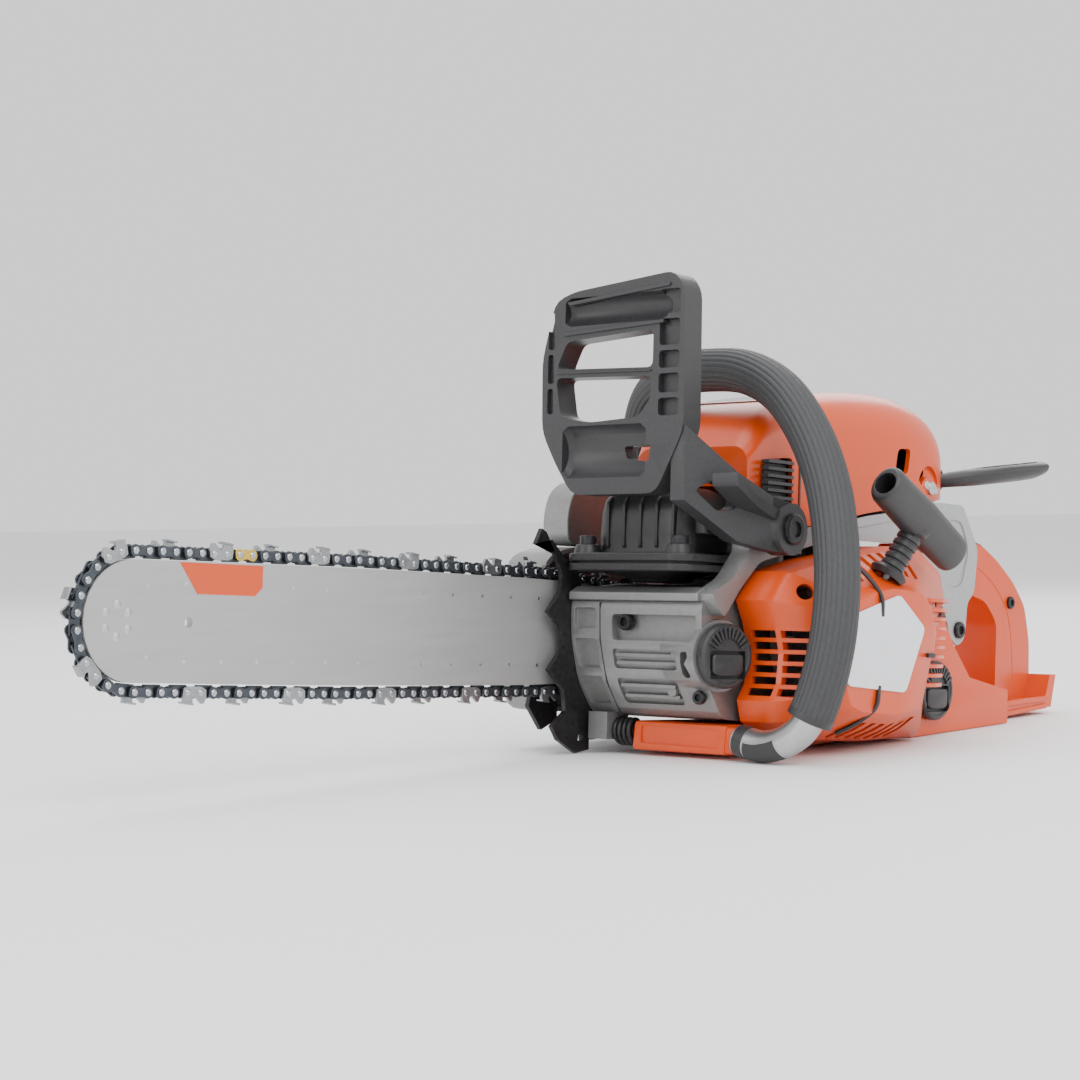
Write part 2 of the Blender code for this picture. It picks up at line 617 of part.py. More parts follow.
def hand_guard():
    pivot = joint_axis("hand_guard_axis", GUARD_PIVOT)
    outline = rounded([(-84, 80), (-22, 80), (-8, 100), (2, 118), (3, 160), (-6, 194), (-20, 199),
                       (-94, 206), (-102, 196), (-103, 116)], 7)
    upper = rounded([(-80, 174), (-16, 170), (-8, 154), (-80, 152)], 4)
    lower = rounded([(-79, 147), (-8, 149), (-12, 126), (-34, 122), (-70, 124), (-79, 134)], 4)
    slot = rounded([(-80, 108), (-54, 108), (-56, 101), (-78, 98)], 2)
    arm = []
    for x, y_out, y_in, low, high in ((-13, -104, -94, 76, 118), (14, -121, -112, 54, 93),
                                      (32, -133, -124, 49, 80), (46, -136, -126, 48, 77)):
        arm.append([Vector((x, y_out, low)), Vector((x, y_in, low)),
                    Vector((x, y_in, high)), Vector((x, y_out, high))])
    hub = disc((GUARD_PIVOT[0], 0, GUARD_PIVOT[2]), (0, 1, 0), 15.0, -137.0, -124.0, 20)
    part("hand_guard", plate(outline, "X", -14.0, 2.0, [upper, lower, slot]), DARK, pivot,
         join=[loft(arm), hub],
         cut=[disc((GUARD_PIVOT[0], 0, GUARD_PIVOT[2]), (0, 1, 0), 5.3, -140, -120, 14)])
    screw = [(0, -140), (9, -140), (9, -137.3), (5, -137.3), (5, -117), (0, -117)]
    part("guard_pivot_screw", turned(screw, (GUARD_PIVOT[0], 0, GUARD_PIVOT[2]), (0, 1, 0), 16),
         DARK_STEEL)


HANDLE_ROUTE = [(24, -119.6, -58.5), (22.5, -138, -60.9), (20.5, -156, -56), (21.5, -169, -43),
                (26, -177, -12), (31, -178, 20), (37, -173, 52), (44, -162, 86), (50, -145, 116),
                (55, -122, 141), (60, -94, 155), (66, -62, 159), (74, -30, 158), (84, -4, 148),
                (91, 9, 128), (97, 12, 100), (105, 12, 80), (124, 11, 67), (154, 9, 63),
                (190, 8, 62)]
GRIP_START = 6                # the rubber grip's first and last points along the route
GRIP_END = 31


def handles_and_tank():
    route = smooth_path(HANDLE_ROUTE)
    part("front_handle", swept(route, TUBE_R, 10), BRIGHT)
    part("handle_grip", swept(route[GRIP_START:GRIP_END], GRIP_R, 10, bore=TUBE_R + 0.4), RUBBER)

    def ground(x):
        return GROUND_DROP + GROUND_SLOPE * x

    tank_side = [(190, ground(190)), (306, ground(306)), (306, -30), (258, -22), (240, -4),
                 (226, 14), (190, 6)]
    tray = [(240, ground(240) + 1), (312, ground(312) + 1), (316, ground(316) + 4), (392, -42),
            (398, -20), (390, -20), (384, -36), (240, -44)]
    loop = rounded([(246, 64), (322, 66), (344, 56), (366, 42), (382, 26), (389, 2),
                    (390, -40), (344, -40), (345, 14), (330, 28), (300, 34), (268, 24), (262, 0),
                    (246, -10)], 6, 3)
    beam = plate([(60, ground(60) + 1.5), (195, ground(195) + 1.5), (195, -50.2), (60, -50.2)],
                 "Y", -111.0, -46.0)
    block = rounded([(20, -67.5), (66, -66.5), (66, -50.2), (22, -50.2)], 3, 2)
    socket = rounded([(20.5, -67), (36, -67), (36, -51), (22.5, -51)], 3, 2)
    lug = box((190.5, -7, 30), (206, 20, 74))
    lug_web = box((191, -42, 22), (205.5, 10, 55))
    lug_foot = box((190.5, -42, -10), (206, -32.5, 60))
    post = box((262, -84.5, 58), (276, -72, 112))
    trigger_slot = box((271, HANDLE_Y - 6, 5), (309, HANDLE_Y + 6, 49))
    lockout_slot = box((300, HANDLE_Y - 5, 44), (352, HANDLE_Y + 5, 80))
    part("tank_unit", plate(tank_side, "Y", -128.0, -32.0), ORANGE,
         join=[plate(tray, "Y", -112.0, -24.0),
               plate(loop, "Y", HANDLE_Y - HANDLE_HALF_W, HANDLE_Y + HANDLE_HALF_W),
               beam, plate(block, "Y", -111.0, -45.0), plate(socket, "Y", -117.6, -105.0),
               lug_foot, lug_web, lug, post],
         cut=[trigger_slot, lockout_slot])

    trigger = rounded([(276, 42), (290, 44), (306, 30), (304, 12), (298, 2), (292, 4),
                       (292, 20), (280, 28)], 3, 2)
    part("throttle_trigger", plate(trigger, "Y", HANDLE_Y - 5.4, HANDLE_Y + 5.4), DARK,
         joint_axis("throttle_trigger_axis", TRIGGER_PIVOT),
         cut=[disc(TRIGGER_PIVOT, (0, 1, 0), 2.0, -8, 8, 14)])
    lockout = rounded([(302, 54), (310, 60), (330, 69), (345, 66), (349, 56), (340, 52)], 3, 2)
    part("throttle_lockout", plate(lockout, "Y", HANDLE_Y - 4.4, HANDLE_Y + 4.4), DARK,
         joint_axis("throttle_lockout_axis", LOCKOUT_PIVOT),
         join=[disc(LOCKOUT_PIVOT, (0, 1, 0), 4.6, -4.4, 4.4, 20)],
         cut=[disc(LOCKOUT_PIVOT, (0, 1, 0), 1.8, -8, 8, 14)])
    lever_hub = disc((LEVER_PIVOT[0], 0, LEVER_PIVOT[2]), (0, 1, 0), 7.5, -95.0, -85.0, 16)
    blade = []
    for x, y, z, half_w, half_h in ((268, -92, 106, 4, 6), (276, -104, 108, 8, 7),
                                    (300, -116, 113, 11, 8), (328, -126, 117, 12, 8),
                                    (340, -130, 119, 8, 5)):
        blade.append([Vector((x, y - half_w, z - half_h)), Vector((x, y + half_w, z - half_h)),
                      Vector((x, y + half_w, z + half_h)), Vector((x, y - half_w, z + half_h))])
    part("stop_lever", loft(blade), DARK, joint_axis("stop_lever_axis", LEVER_PIVOT),
         join=[lever_hub])
    part("rear_handle_screw", disc((362, 0, 28), (0, 1, 0), 4.0, -98.0, -96.3, 12), DARK_STEEL)

    part("av_spring_front", disc((26, 0, -57), (0, 1, 0), 8.5, -44.6, -30.4, 16), DARK_STEEL)
    part("av_spring_rear", disc((0, -80, -20), (1, 0, 0), 9.0, 172.4, 189.6, 16), DARK_STEEL)


def facing_block(spot, facing, wide, low, high, shallow, deep):
    """A block on a round cap's face, between two heights and two distances off the cap."""
    across = facing.cross(Vector((0, 0, 1)))
    loops = []
    for out in (shallow, deep):
        loops.append([spot + facing * out + across * u + Vector((0, 0, v)) for u, v in
                      ((-wide, low), (wide, low), (wide, high), (-wide, high))])
    return loft(loops)


def caps():
    for name, spot, facing in (("oil_cap", OIL_CAP, OIL_CAP_FACING),
                               ("fuel_cap", FUEL_CAP, FUEL_CAP_FACING)):
        axis = joint_axis(name + "_axis", spot)
        part(name, disc(spot, facing, CAP_R, 0.0, 7.0, 24), DARK, axis,
             cut=[facing_block(spot, facing, 13.0, -13.0, 3.0, 3.0, 9.0)])
        hinge = spot + facing * 5.2 + Vector((0, 0, 1.0))
        tab_axis = joint_axis(name + "_tab_axis", hinge, axis)
        part(name + "_tab", facing_block(spot, facing, 11.5, -11.5, 1.0, 3.4, 7.0), DARK, tab_axis)


def covers():
    wide = [(46, -104, -22, 88, 88, 111, 10), (60, -107, -16, 84, 80, 127, 14),
            (80, -112, -12, 68, 58, 139, 20), (108, -116, -10, 68, 57, 146, 24),
            (150, -118, -8, 77, 57, 152, 28), (200, -118, -8, 84, 57, 154, 30),
            (236, -114, -10, 90, 57, 147, 28), (254, -106, -16, 92, 60, 132, 22),
            (261, -98, -22, 94, 64, 116, 14)]
    outer = [arch(*row) for row in wide]
    inner = []
    wall = COVER_WALL
    for x, left, right, low_left, low_right, top, corner in wide[1:-1]:
        inner.append(arch(x, left + wall, right - wall, low_left - 30, low_right - 30,
                          top - wall, corner - 2))
    part("cylinder_cover", loft(outer), ORANGE, cut=[loft(inner)])
    panel = [(101, 60), (101, 66), (150, 75.5), (200, 82), (222, 88), (258, 88), (277, 60),
             (273, 32), (265, 26), (263, 4), (254, -3), (244, 4), (240, 16), (216, 48),
             (206, 60)]
    part("side_panel", plate(rounded(panel, 4, 2), "Y", -121.0, -118.4), PALE,
         join=[disc((254, 0, 8), (0, 1, 0), 9.0, -121.0, -100.0, 16)])
    part("av_screw", disc((254, 0, 8), (0, 1, 0), 5.0, -123.0, -121.3, 12), DARK_STEEL)


# ---------------------------------------------------------------- assembly

def assemble():
    crank_axis = joint_axis("crank_axis", (CRANK_X, 0, CRANK_Z))
    drum_axis = joint_axis("drum_axis", (CRANK_X, 0, CRANK_Z))
    bar_and_chain()
    clutch_side(crank_axis, drum_axis)
    crankcase()
    crank_train(crank_axis)
    engine_parts()
    starter_side()
    hand_guard()
    handles_and_tank()
    caps()
    covers()


def stand_on_ground():
    """Tip the saw onto its standing line and put the origin under its centre."""
    SAW.rotation_euler.y = math.atan(GROUND_SLOPE)
    bpy.context.view_layer.update()
    corners = [obj.matrix_world @ vertex.co for obj in bpy.data.objects
               if obj.type == "MESH" for vertex in obj.data.vertices]
    low = Vector([min(c[i] for c in corners) for i in range(3)])
    high = Vector([max(c[i] for c in corners) for i in range(3)])
    SAW.location = (-(low.x + high.x) / 2, -(low.y + high.y) / 2, -low.z)
    bpy.context.view_layer.update()


assemble()
stand_on_ground()
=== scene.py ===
"""Looks of a petrol chainsaw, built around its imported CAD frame.

Shapes are written in design millimetres: X from the bar's nose to the rear handle, Y from the
starter side to the clutch side, Z up. TO_WORLD puts them into the frame, in metres.
"""
import json
import math

import bpy
import bmesh
from mathutils import Matrix, Vector
from mathutils.geometry import tessellate_polygon

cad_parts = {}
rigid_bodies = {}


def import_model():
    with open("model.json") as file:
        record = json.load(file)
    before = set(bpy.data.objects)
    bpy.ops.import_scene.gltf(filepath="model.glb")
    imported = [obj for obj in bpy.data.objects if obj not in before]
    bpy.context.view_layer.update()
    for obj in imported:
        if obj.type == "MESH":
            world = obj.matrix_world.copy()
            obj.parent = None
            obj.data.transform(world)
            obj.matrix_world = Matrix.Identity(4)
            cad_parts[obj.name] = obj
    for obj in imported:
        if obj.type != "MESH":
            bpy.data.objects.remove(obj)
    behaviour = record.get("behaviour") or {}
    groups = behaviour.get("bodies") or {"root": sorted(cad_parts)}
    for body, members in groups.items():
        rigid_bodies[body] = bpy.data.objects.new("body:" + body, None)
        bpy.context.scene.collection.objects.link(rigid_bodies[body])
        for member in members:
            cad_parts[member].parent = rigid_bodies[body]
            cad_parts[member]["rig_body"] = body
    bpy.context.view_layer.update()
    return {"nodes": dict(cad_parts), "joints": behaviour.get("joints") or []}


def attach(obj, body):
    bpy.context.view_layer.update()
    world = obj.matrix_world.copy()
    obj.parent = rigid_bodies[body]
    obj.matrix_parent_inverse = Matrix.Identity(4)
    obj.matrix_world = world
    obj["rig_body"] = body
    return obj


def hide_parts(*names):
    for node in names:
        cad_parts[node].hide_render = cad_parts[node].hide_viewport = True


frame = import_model()
NODES = frame["nodes"]

TILT = math.atan(0.066)
CRANK_POINT = Vector((100.0, 0.0, 0.0))
CRANK_WORLD = Vector(next(j for j in frame["joints"] if j["name"] == "crank_spin")["pos_m"])
TURN = Matrix.Rotation(TILT, 4, "Y") @ Matrix.Scale(0.001, 4)
TO_WORLD = Matrix.Translation(CRANK_WORLD - TURN @ CRANK_POINT) @ TURN


# ---------------------------------------------------------------- materials

def material(name, colour, rough, metal=0.0, grain=260.0, tint=0.12, bump=0.05,
             bump_scale=900.0, coat=0.0, streak=None, spread=0.12):
    """A surface with small changes of colour and roughness, and a fine bump."""
    mat = bpy.data.materials.new(name)
    mat.use_nodes = True
    nodes, links = mat.node_tree.nodes, mat.node_tree.links
    shader = nodes["Principled BSDF"]
    shader.inputs["Metallic"].default_value = metal
    shader.inputs["Coat Weight"].default_value = coat
    shader.inputs["Coat Roughness"].default_value = 0.12
    coords = nodes.new("ShaderNodeTexCoord")
    stretch = nodes.new("ShaderNodeMapping")
    stretch.inputs["Scale"].default_value = streak or (1.0, 1.0, 1.0)
    links.new(coords.outputs["Object"], stretch.inputs["Vector"])
    coarse = nodes.new("ShaderNodeTexNoise")
    coarse.inputs["Scale"].default_value = grain
    coarse.inputs["Detail"].default_value = 6.0
    links.new(stretch.outputs["Vector"], coarse.inputs["Vector"])
    ramp = nodes.new("ShaderNodeValToRGB")
    ramp.color_ramp.elements[0].position = 0.3
    ramp.color_ramp.elements[1].position = 0.7
    ramp.color_ramp.elements[0].color = [c * (1 - tint) for c in colour] + [1]
    ramp.color_ramp.elements[1].color = [min(1.0, c * (1 + tint)) for c in colour] + [1]
    links.new(coarse.outputs["Fac"], ramp.inputs["Fac"])
    links.new(ramp.outputs["Color"], shader.inputs["Base Color"])
    shine = nodes.new("ShaderNodeMapRange")
    shine.inputs["To Min"].default_value = max(0.03, rough - spread / 2)
    shine.inputs["To Max"].default_value = min(1.0, rough + spread / 2)
    links.new(coarse.outputs["Fac"], shine.inputs["Value"])
    links.new(shine.outputs["Result"], shader.inputs["Roughness"])
    fine = nodes.new("ShaderNodeTexNoise")
    fine.inputs["Scale"].default_value = bump_scale
    fine.inputs["Detail"].default_value = 3.0
    links.new(stretch.outputs["Vector"], fine.inputs["Vector"])
    bumps = nodes.new("ShaderNodeBump")
    bumps.inputs["Strength"].default_value = bump
    bumps.inputs["Distance"].default_value = 0.0004
    links.new(fine.outputs["Fac"], bumps.inputs["Height"])
    links.new(bumps.outputs["Normal"], shader.inputs["Normal"])
    return mat


M = {
    "orange": material("orange plastic", (0.66, 0.062, 0.0006), 0.34, grain=30, tint=0.03,
                       bump=0.03, bump_scale=1500, coat=0.12, spread=0.06),
    "cast": material("cast magnesium", (0.25, 0.25, 0.248), 0.42, 0.6, grain=300, tint=0.06,
                     bump=0.12, bump_scale=1600),
    "steel": material("steel", (0.55, 0.56, 0.57), 0.30, 0.95, grain=200, tint=0.10,
                      bump=0.06, streak=(0.2, 1, 3)),
    "bar": material("bar steel", (0.40, 0.40, 0.40), 0.40, 0.45, grain=240, tint=0.04,
                    bump=0.05, bump_scale=1600, streak=(0.08, 1, 1)),
    "chain": material("chain steel", (0.06, 0.068, 0.08), 0.36, 0.8, grain=300, tint=0.2,
                      bump=0.03),
    "cutter": material("cutter chrome", (0.30, 0.315, 0.33), 0.30, 0.9, grain=200, tint=0.1,
                       bump=0.015),
    "rivet": material("rivet steel", (0.42, 0.43, 0.45), 0.24, 1.0, grain=200, tint=0.1,
                      bump=0.01),
    "gold": material("gold link", (0.62, 0.42, 0.07), 0.32, 0.9, grain=500, tint=0.15),
    "dark_steel": material("dark steel", (0.03, 0.03, 0.032), 0.38, 0.6, grain=400, tint=0.3,
                           bump=0.10),
    "bare": material("bare aluminium", (0.50, 0.505, 0.51), 0.32, 0.92, grain=160, tint=0.06,
                     bump=0.08, streak=(1, 1, 0.15)),
    "black": material("black coated metal", (0.013, 0.013, 0.014), 0.40, 0.0, grain=500,
                      tint=0.3, bump=0.25, bump_scale=1800),
    "dark": material("dark plastic", (0.026, 0.026, 0.028), 0.42, 0.0, grain=500, tint=0.14,
                     bump=0.22, bump_scale=2200),
    "rubber": material("handle rubber", (0.036, 0.037, 0.039), 0.58, 0.0, grain=500,
                       tint=0.15, bump=0.25, bump_scale=1800),
    "pale": material("pale plastic", (0.34, 0.35, 0.36), 0.40, 0.0, grain=300, tint=0.05,
                     bump=0.08, bump_scale=1600),
    "decal": material("blank panel", (0.78, 0.80, 0.84), 0.32, 0.0, grain=60, tint=0.03,
                      bump=0.02),
    "brass": material("brass", (0.65, 0.48, 0.2), 0.35, 1.0, grain=300, tint=0.1),
}


# ---------------------------------------------------------------- shape helpers

def arc(centre, radius, start, end, steps):
    """Points of an arc in a plane, angles in degrees."""
    points = []
    for i in range(steps + 1):
        a = math.radians(start + (end - start) * i / steps)
        points.append((centre[0] + radius * math.cos(a), centre[1] + radius * math.sin(a)))
    return points


def circle(centre, radius, steps=24):
    """Points of a full circle in a plane."""
    return arc(centre, radius, 0, 360 * (steps - 1) / steps, steps - 1)


def rounded(outline, radius, steps=5):
    """The same outline with its corners turned into arcs."""
    points = []
    count = len(outline)
    for i, corner in enumerate(outline):
        corner = Vector(corner)
        back = Vector(outline[i - 1]) - corner
        ahead = Vector(outline[(i + 1) % count]) - corner
        reach = min(radius, 0.45 * back.length, 0.45 * ahead.length)
        start = corner + back.normalized() * reach
        end = corner + ahead.normalized() * reach
        for k in range(steps + 1):
            t = k / steps
            points.append(tuple(start * (1 - t) ** 2 + corner * 2 * t * (1 - t) + end * t ** 2))
    return points


def lift(point, axis, level):
    """A plane point placed in space at a level along the named axis."""
    u, v = point
    if axis == "X":
        return Vector((level, u, v))
    if axis == "Y":
        return Vector((u, level, v))
    return Vector((u, v, level))


def plate(outline, axis, low, high, holes=()):
    """A flat outline, with any holes, given a thickness along an axis."""
    loops = [list(outline)] + [list(hole) for hole in holes]
    bm = bmesh.new()
    lower = [bm.verts.new(lift(p, axis, low)) for loop in loops for p in loop]
    upper = [bm.verts.new(lift(p, axis, high)) for loop in loops for p in loop]
    if len(loops) == 1:
        bm.faces.new(lower)
        bm.faces.new(upper)
    else:
        for tri in tessellate_polygon([[Vector((p[0], p[1], 0)) for p in loop] for loop in loops]):
            bm.faces.new([lower[i] for i in tri])
            bm.faces.new([upper[i] for i in tri])
    first = 0
    for loop in loops:
        count = len(loop)
        for i in range(count):
            a, b = first + i, first + (i + 1) % count
            bm.faces.new((lower[a], lower[b], upper[b], upper[a]))
        first += count
    return bm


def loft(sections):
    """A closed solid through loops of points, all with the same number of points."""
    bm = bmesh.new()
    rings = [[bm.verts.new(p) for p in section] for section in sections]
    for one, two in zip(rings, rings[1:]):
        for i in range(len(one)):
            j = (i + 1) % len(one)
            bm.faces.new((one[i], one[j], two[j], two[i]))
    bm.faces.new(rings[0])
    bm.faces.new(rings[-1])
    return bm


def cup(outer, inner):
    """A shell that is open at its first section and closed at its last one."""
    bm = bmesh.new()
    sides = [[[bm.verts.new(p) for p in section] for section in loops] for loops in (outer, inner)]
    for rings in sides:
        for one, two in zip(rings, rings[1:]):
            for i in range(len(one)):
                j = (i + 1) % len(one)
                bm.faces.new((one[i], one[j], two[j], two[i]))
        bm.faces.new(rings[-1])
    rim, lip = sides[0][0], sides[1][0]
    for i in range(len(rim)):
        j = (i + 1) % len(rim)
        bm.faces.new((rim[i], rim[j], lip[j], lip[i]))
    return bm


def turned(profile, centre, axis, segments=32, closed=False):
    """A turned solid. The profile holds (radius, distance along the axis) pairs."""
    axis = Vector(axis).normalized()
    side = axis.orthogonal().normalized()
    up = axis.cross(side)
    centre = Vector(centre)
    bm = bmesh.new()
    rings = []
    for radius, along in profile:
        if radius == 0:
            rings.append([bm.verts.new(centre + axis * along)])
            continue
        rings.append([bm.verts.new(centre + axis * along + radius * (
            side * math.cos(2 * math.pi * i / segments)
            + up * math.sin(2 * math.pi * i / segments)))
            for i in range(segments)])
    pairs = list(zip(rings, rings[1:]))
    if closed:
        pairs.append((rings[-1], rings[0]))
    for one, two in pairs:
        for i in range(segments):
            j = (i + 1) % segments
            corners = [one[i % len(one)], one[j % len(one)], two[j % len(two)], two[i % len(two)]]
            bm.faces.new(list(dict.fromkeys(corners)))
    return bm


def disc(centre, axis, radius, low, high, segments=32, bore=0.0):
    """A round block between two distances along its axis, with or without a bore."""
    if bore:
        profile = [(bore, low), (radius, low), (radius, high), (bore, high)]
        return turned(profile, centre, axis, segments, closed=True)
    return turned([(0, low), (radius, low), (radius, high), (0, high)], centre, axis, segments)


def box(low, high):
    """A block between two corners."""
    outline = [(low[0], low[1]), (high[0], low[1]), (high[0], high[1]), (low[0], high[1])]
    return plate(outline, "Z", low[2], high[2])


def smooth_path(points, per_span=2):
    """A Catmull-Rom curve through the given points."""
    points = [Vector(p) for p in points]
    ends = [points[0] * 2 - points[1]] + points + [points[-1] * 2 - points[-2]]
    path = []
    for i in range(1, len(ends) - 2):
        a, b, c, d = ends[i - 1:i + 3]
        for k in range(per_span):
            t = k / per_span
            path.append(0.5 * (2 * b + (c - a) * t + (2 * a - 5 * b + 4 * c - d) * t ** 2
                               + (3 * b - a - 3 * c + d) * t ** 3))
    path.append(points[-1])
    return path


def swept(path, radius, sides=24, bore=0.0, flute=0.0):
    """A tube along a path. flute is the depth of the grooves along it."""
    bm = bmesh.new()
    outer, inner = [], []
    normal = None
    for i, point in enumerate(path):
        ahead = path[min(i + 1, len(path) - 1)] - path[max(i - 1, 0)]
        ahead.normalize()
        if normal is None:
            normal = ahead.orthogonal().normalized()
        normal = (normal - ahead * normal.dot(ahead)).normalized()
        other = ahead.cross(normal)
        spokes = [normal * math.cos(2 * math.pi * k / sides)
                  + other * math.sin(2 * math.pi * k / sides) for k in range(sides)]
        outer.append([bm.verts.new(point + s * (radius - (flute if k % 4 == 0 else 0)))
                      for k, s in enumerate(spokes)])
        if bore:
            inner.append([bm.verts.new(point + s * bore) for s in spokes])
    for rings in (outer, inner):
        for one, two in zip(rings, rings[1:]):
            for k in range(sides):
                j = (k + 1) % sides
                bm.faces.new((one[k], one[j], two[j], two[k]))
    for end in (0, -1):
        if not bore:
            bm.faces.new(outer[end])
            continue
        for k in range(sides):
            j = (k + 1) % sides
            bm.faces.new((outer[end][k], outer[end][j], inner[end][j], inner[end][k]))
    return bm


def arch(x, left, right, low_left, low_right, top, corner, steps=10):
    """A loop across the saw: flat sides and a top with round corners."""
    loop = [(left, low_left)]
    loop += [(left + corner + corner * math.cos(a), top - corner + corner * math.sin(a))
             for a in (math.pi - 0.5 * math.pi * k / steps for k in range(steps + 1))]
    loop += [(right - corner + corner * math.cos(a), top - corner + corner * math.sin(a))
             for a in (0.5 * math.pi * (1 - k / steps) for k in range(steps + 1))]
    loop.append((right, low_right))
    return [Vector((x, y, z)) for y, z in loop]


def merged(parts):
    """Several bmeshes as one."""
    bm = bmesh.new()
    for part in parts:
        mesh = bpy.data.meshes.new("part")
        bmesh.ops.recalc_face_normals(part, faces=part.faces[:])
        part.to_mesh(mesh)
        part.free()
        bm.from_mesh(mesh)
        bpy.data.meshes.remove(mesh)
    return bm


def moved(bm, matrix):
    bmesh.ops.transform(bm, matrix=matrix, verts=bm.verts)
    return bm


# ---------------------------------------------------------------- object helpers

def round_edges(obj, width, segments=3, angle=32.0):
    """Smooth shading with its edges rounded by a width in millimetres."""
    for polygon in obj.data.polygons:
        polygon.use_smooth = True
    obj.data.set_sharp_from_angle(angle=math.radians(38))
    if width:
        bevel = obj.modifiers.new("edges", "BEVEL")
        bevel.width = width * 0.001
        bevel.segments = segments
        bevel.limit_method = "ANGLE"
        bevel.angle_limit = math.radians(angle)
        bevel.harden_normals = True
        bevel.miter_outer = "MITER_ARC"


def new_object(name, bm):
    """An object from a bmesh, with its faces pointing out."""
    bmesh.ops.recalc_face_normals(bm, faces=bm.faces[:])
    mesh = bpy.data.meshes.new(name)
    bm.to_mesh(mesh)
    bm.free()
    obj = bpy.data.objects.new(name, mesh)
    bpy.context.scene.collection.objects.link(obj)
    return obj


def apply_modifiers(obj):
    """Turn an object's modifiers into its mesh."""
    bpy.context.view_layer.update()
    evaluated = obj.evaluated_get(bpy.context.evaluated_depsgraph_get())
    mesh = bpy.data.meshes.new_from_object(evaluated)
    obj.modifiers.clear()
    obj.data = mesh


def carve(obj, shapes, operation="DIFFERENCE"):
    """Cut shapes, in design millimetres, out of an object, or join them to it."""
    for shape in shapes:
        shape.transform(TO_WORLD)
        tool = new_object("tool", shape)
        modifier = obj.modifiers.new("carve", "BOOLEAN")
        modifier.operation = operation
        modifier.solver = "EXACT"
        modifier.object = tool
        apply_modifiers(obj)
        bpy.data.objects.remove(tool, do_unlink=True)


def piece(name, bm, body, look, bevel=0.6, replaces=(), cuts=(), segments=3, joins=()):
    """A finished piece, made from a bmesh in design millimetres."""
    bm.transform(TO_WORLD)
    obj = new_object(name, bm)
    carve(obj, joins, "UNION")
    carve(obj, cuts)
    obj.data.materials.clear()
    obj.data.materials.append(M[look])
    round_edges(obj, bevel, segments)
    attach(obj, body)
    if replaces:
        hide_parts(*replaces)
    return obj


def recut(node, name, look, cuts=(), joins=(), bevel=0.6, segments=3):
    """A copy of a CAD node with more detail cut into it, which stands for the node."""
    bm = bmesh.new()
    bm.from_mesh(NODES[node].data)
    bmesh.ops.remove_doubles(bm, verts=bm.verts, dist=1e-6)
    bmesh.ops.dissolve_limit(bm, angle_limit=math.radians(0.5), verts=bm.verts, edges=bm.edges)
    bm.transform(TO_WORLD.inverted())
    return piece(name, bm, NODES[node]["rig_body"], look, bevel, [node], cuts, segments, joins)


def screw_head(centre, axis, radius, height):
    """A round head with a round socket, its base at the centre point."""
    axis = Vector(axis).normalized()
    head = turned([(0, 0), (radius, 0), (radius, height * 0.7), (radius * 0.86, height),
                   (radius * 0.52, height), (radius * 0.52, height * 0.35), (0, height * 0.35)],
                  centre, axis, 24)
    return head


# ---------------------------------------------------------------- bar and chain

NOSE_X = -321.0
NOSE_R = 30.3
SPROCKET = (100.0, 19.0)


def belt(offset):
    """The chain's closed line, a distance off the bar's edge, as (x, z) points."""
    lean = math.degrees(math.asin((30.5 - SPROCKET[1]) / 100.0))
    loop = arc((NOSE_X, 0), NOSE_R + offset, 90, 270, 40)
    loop += [(-170.0, -(31.5 + offset)), (0.0, -(30.5 + offset))]
    loop += arc((SPROCKET[0], 0), SPROCKET[1] + offset, -90 + lean, 90 - lean, 24)
    loop += [(0.0, 30.5 + offset), (-170.0, 31.5 + offset)]
    return [Vector(p) for p in loop]


def along(loop, spacing_count):
    """Points spaced evenly along a closed line."""
    legs = [(a, b, (b - a).length) for a, b in zip(loop, loop[1:] + loop[:1])]
    total = sum(leg[2] for leg in legs)
    points = []
    for i in range(spacing_count):
        reach = total * i / spacing_count
        for a, b, length in legs:
            if reach <= length:
                points.append(a.lerp(b, reach / length))
                break
            reach -= length
    return points


def link_plate(a, b, outline, low, high):
    """A side-view outline (u along the link from its middle, v outwards) as a plate."""
    middle = (a + b) / 2
    run = (b - a).normalized()
    out = Vector((run.y, -run.x))
    return plate([tuple(middle + run * u + out * v) for u, v in outline], "Y", low, high)


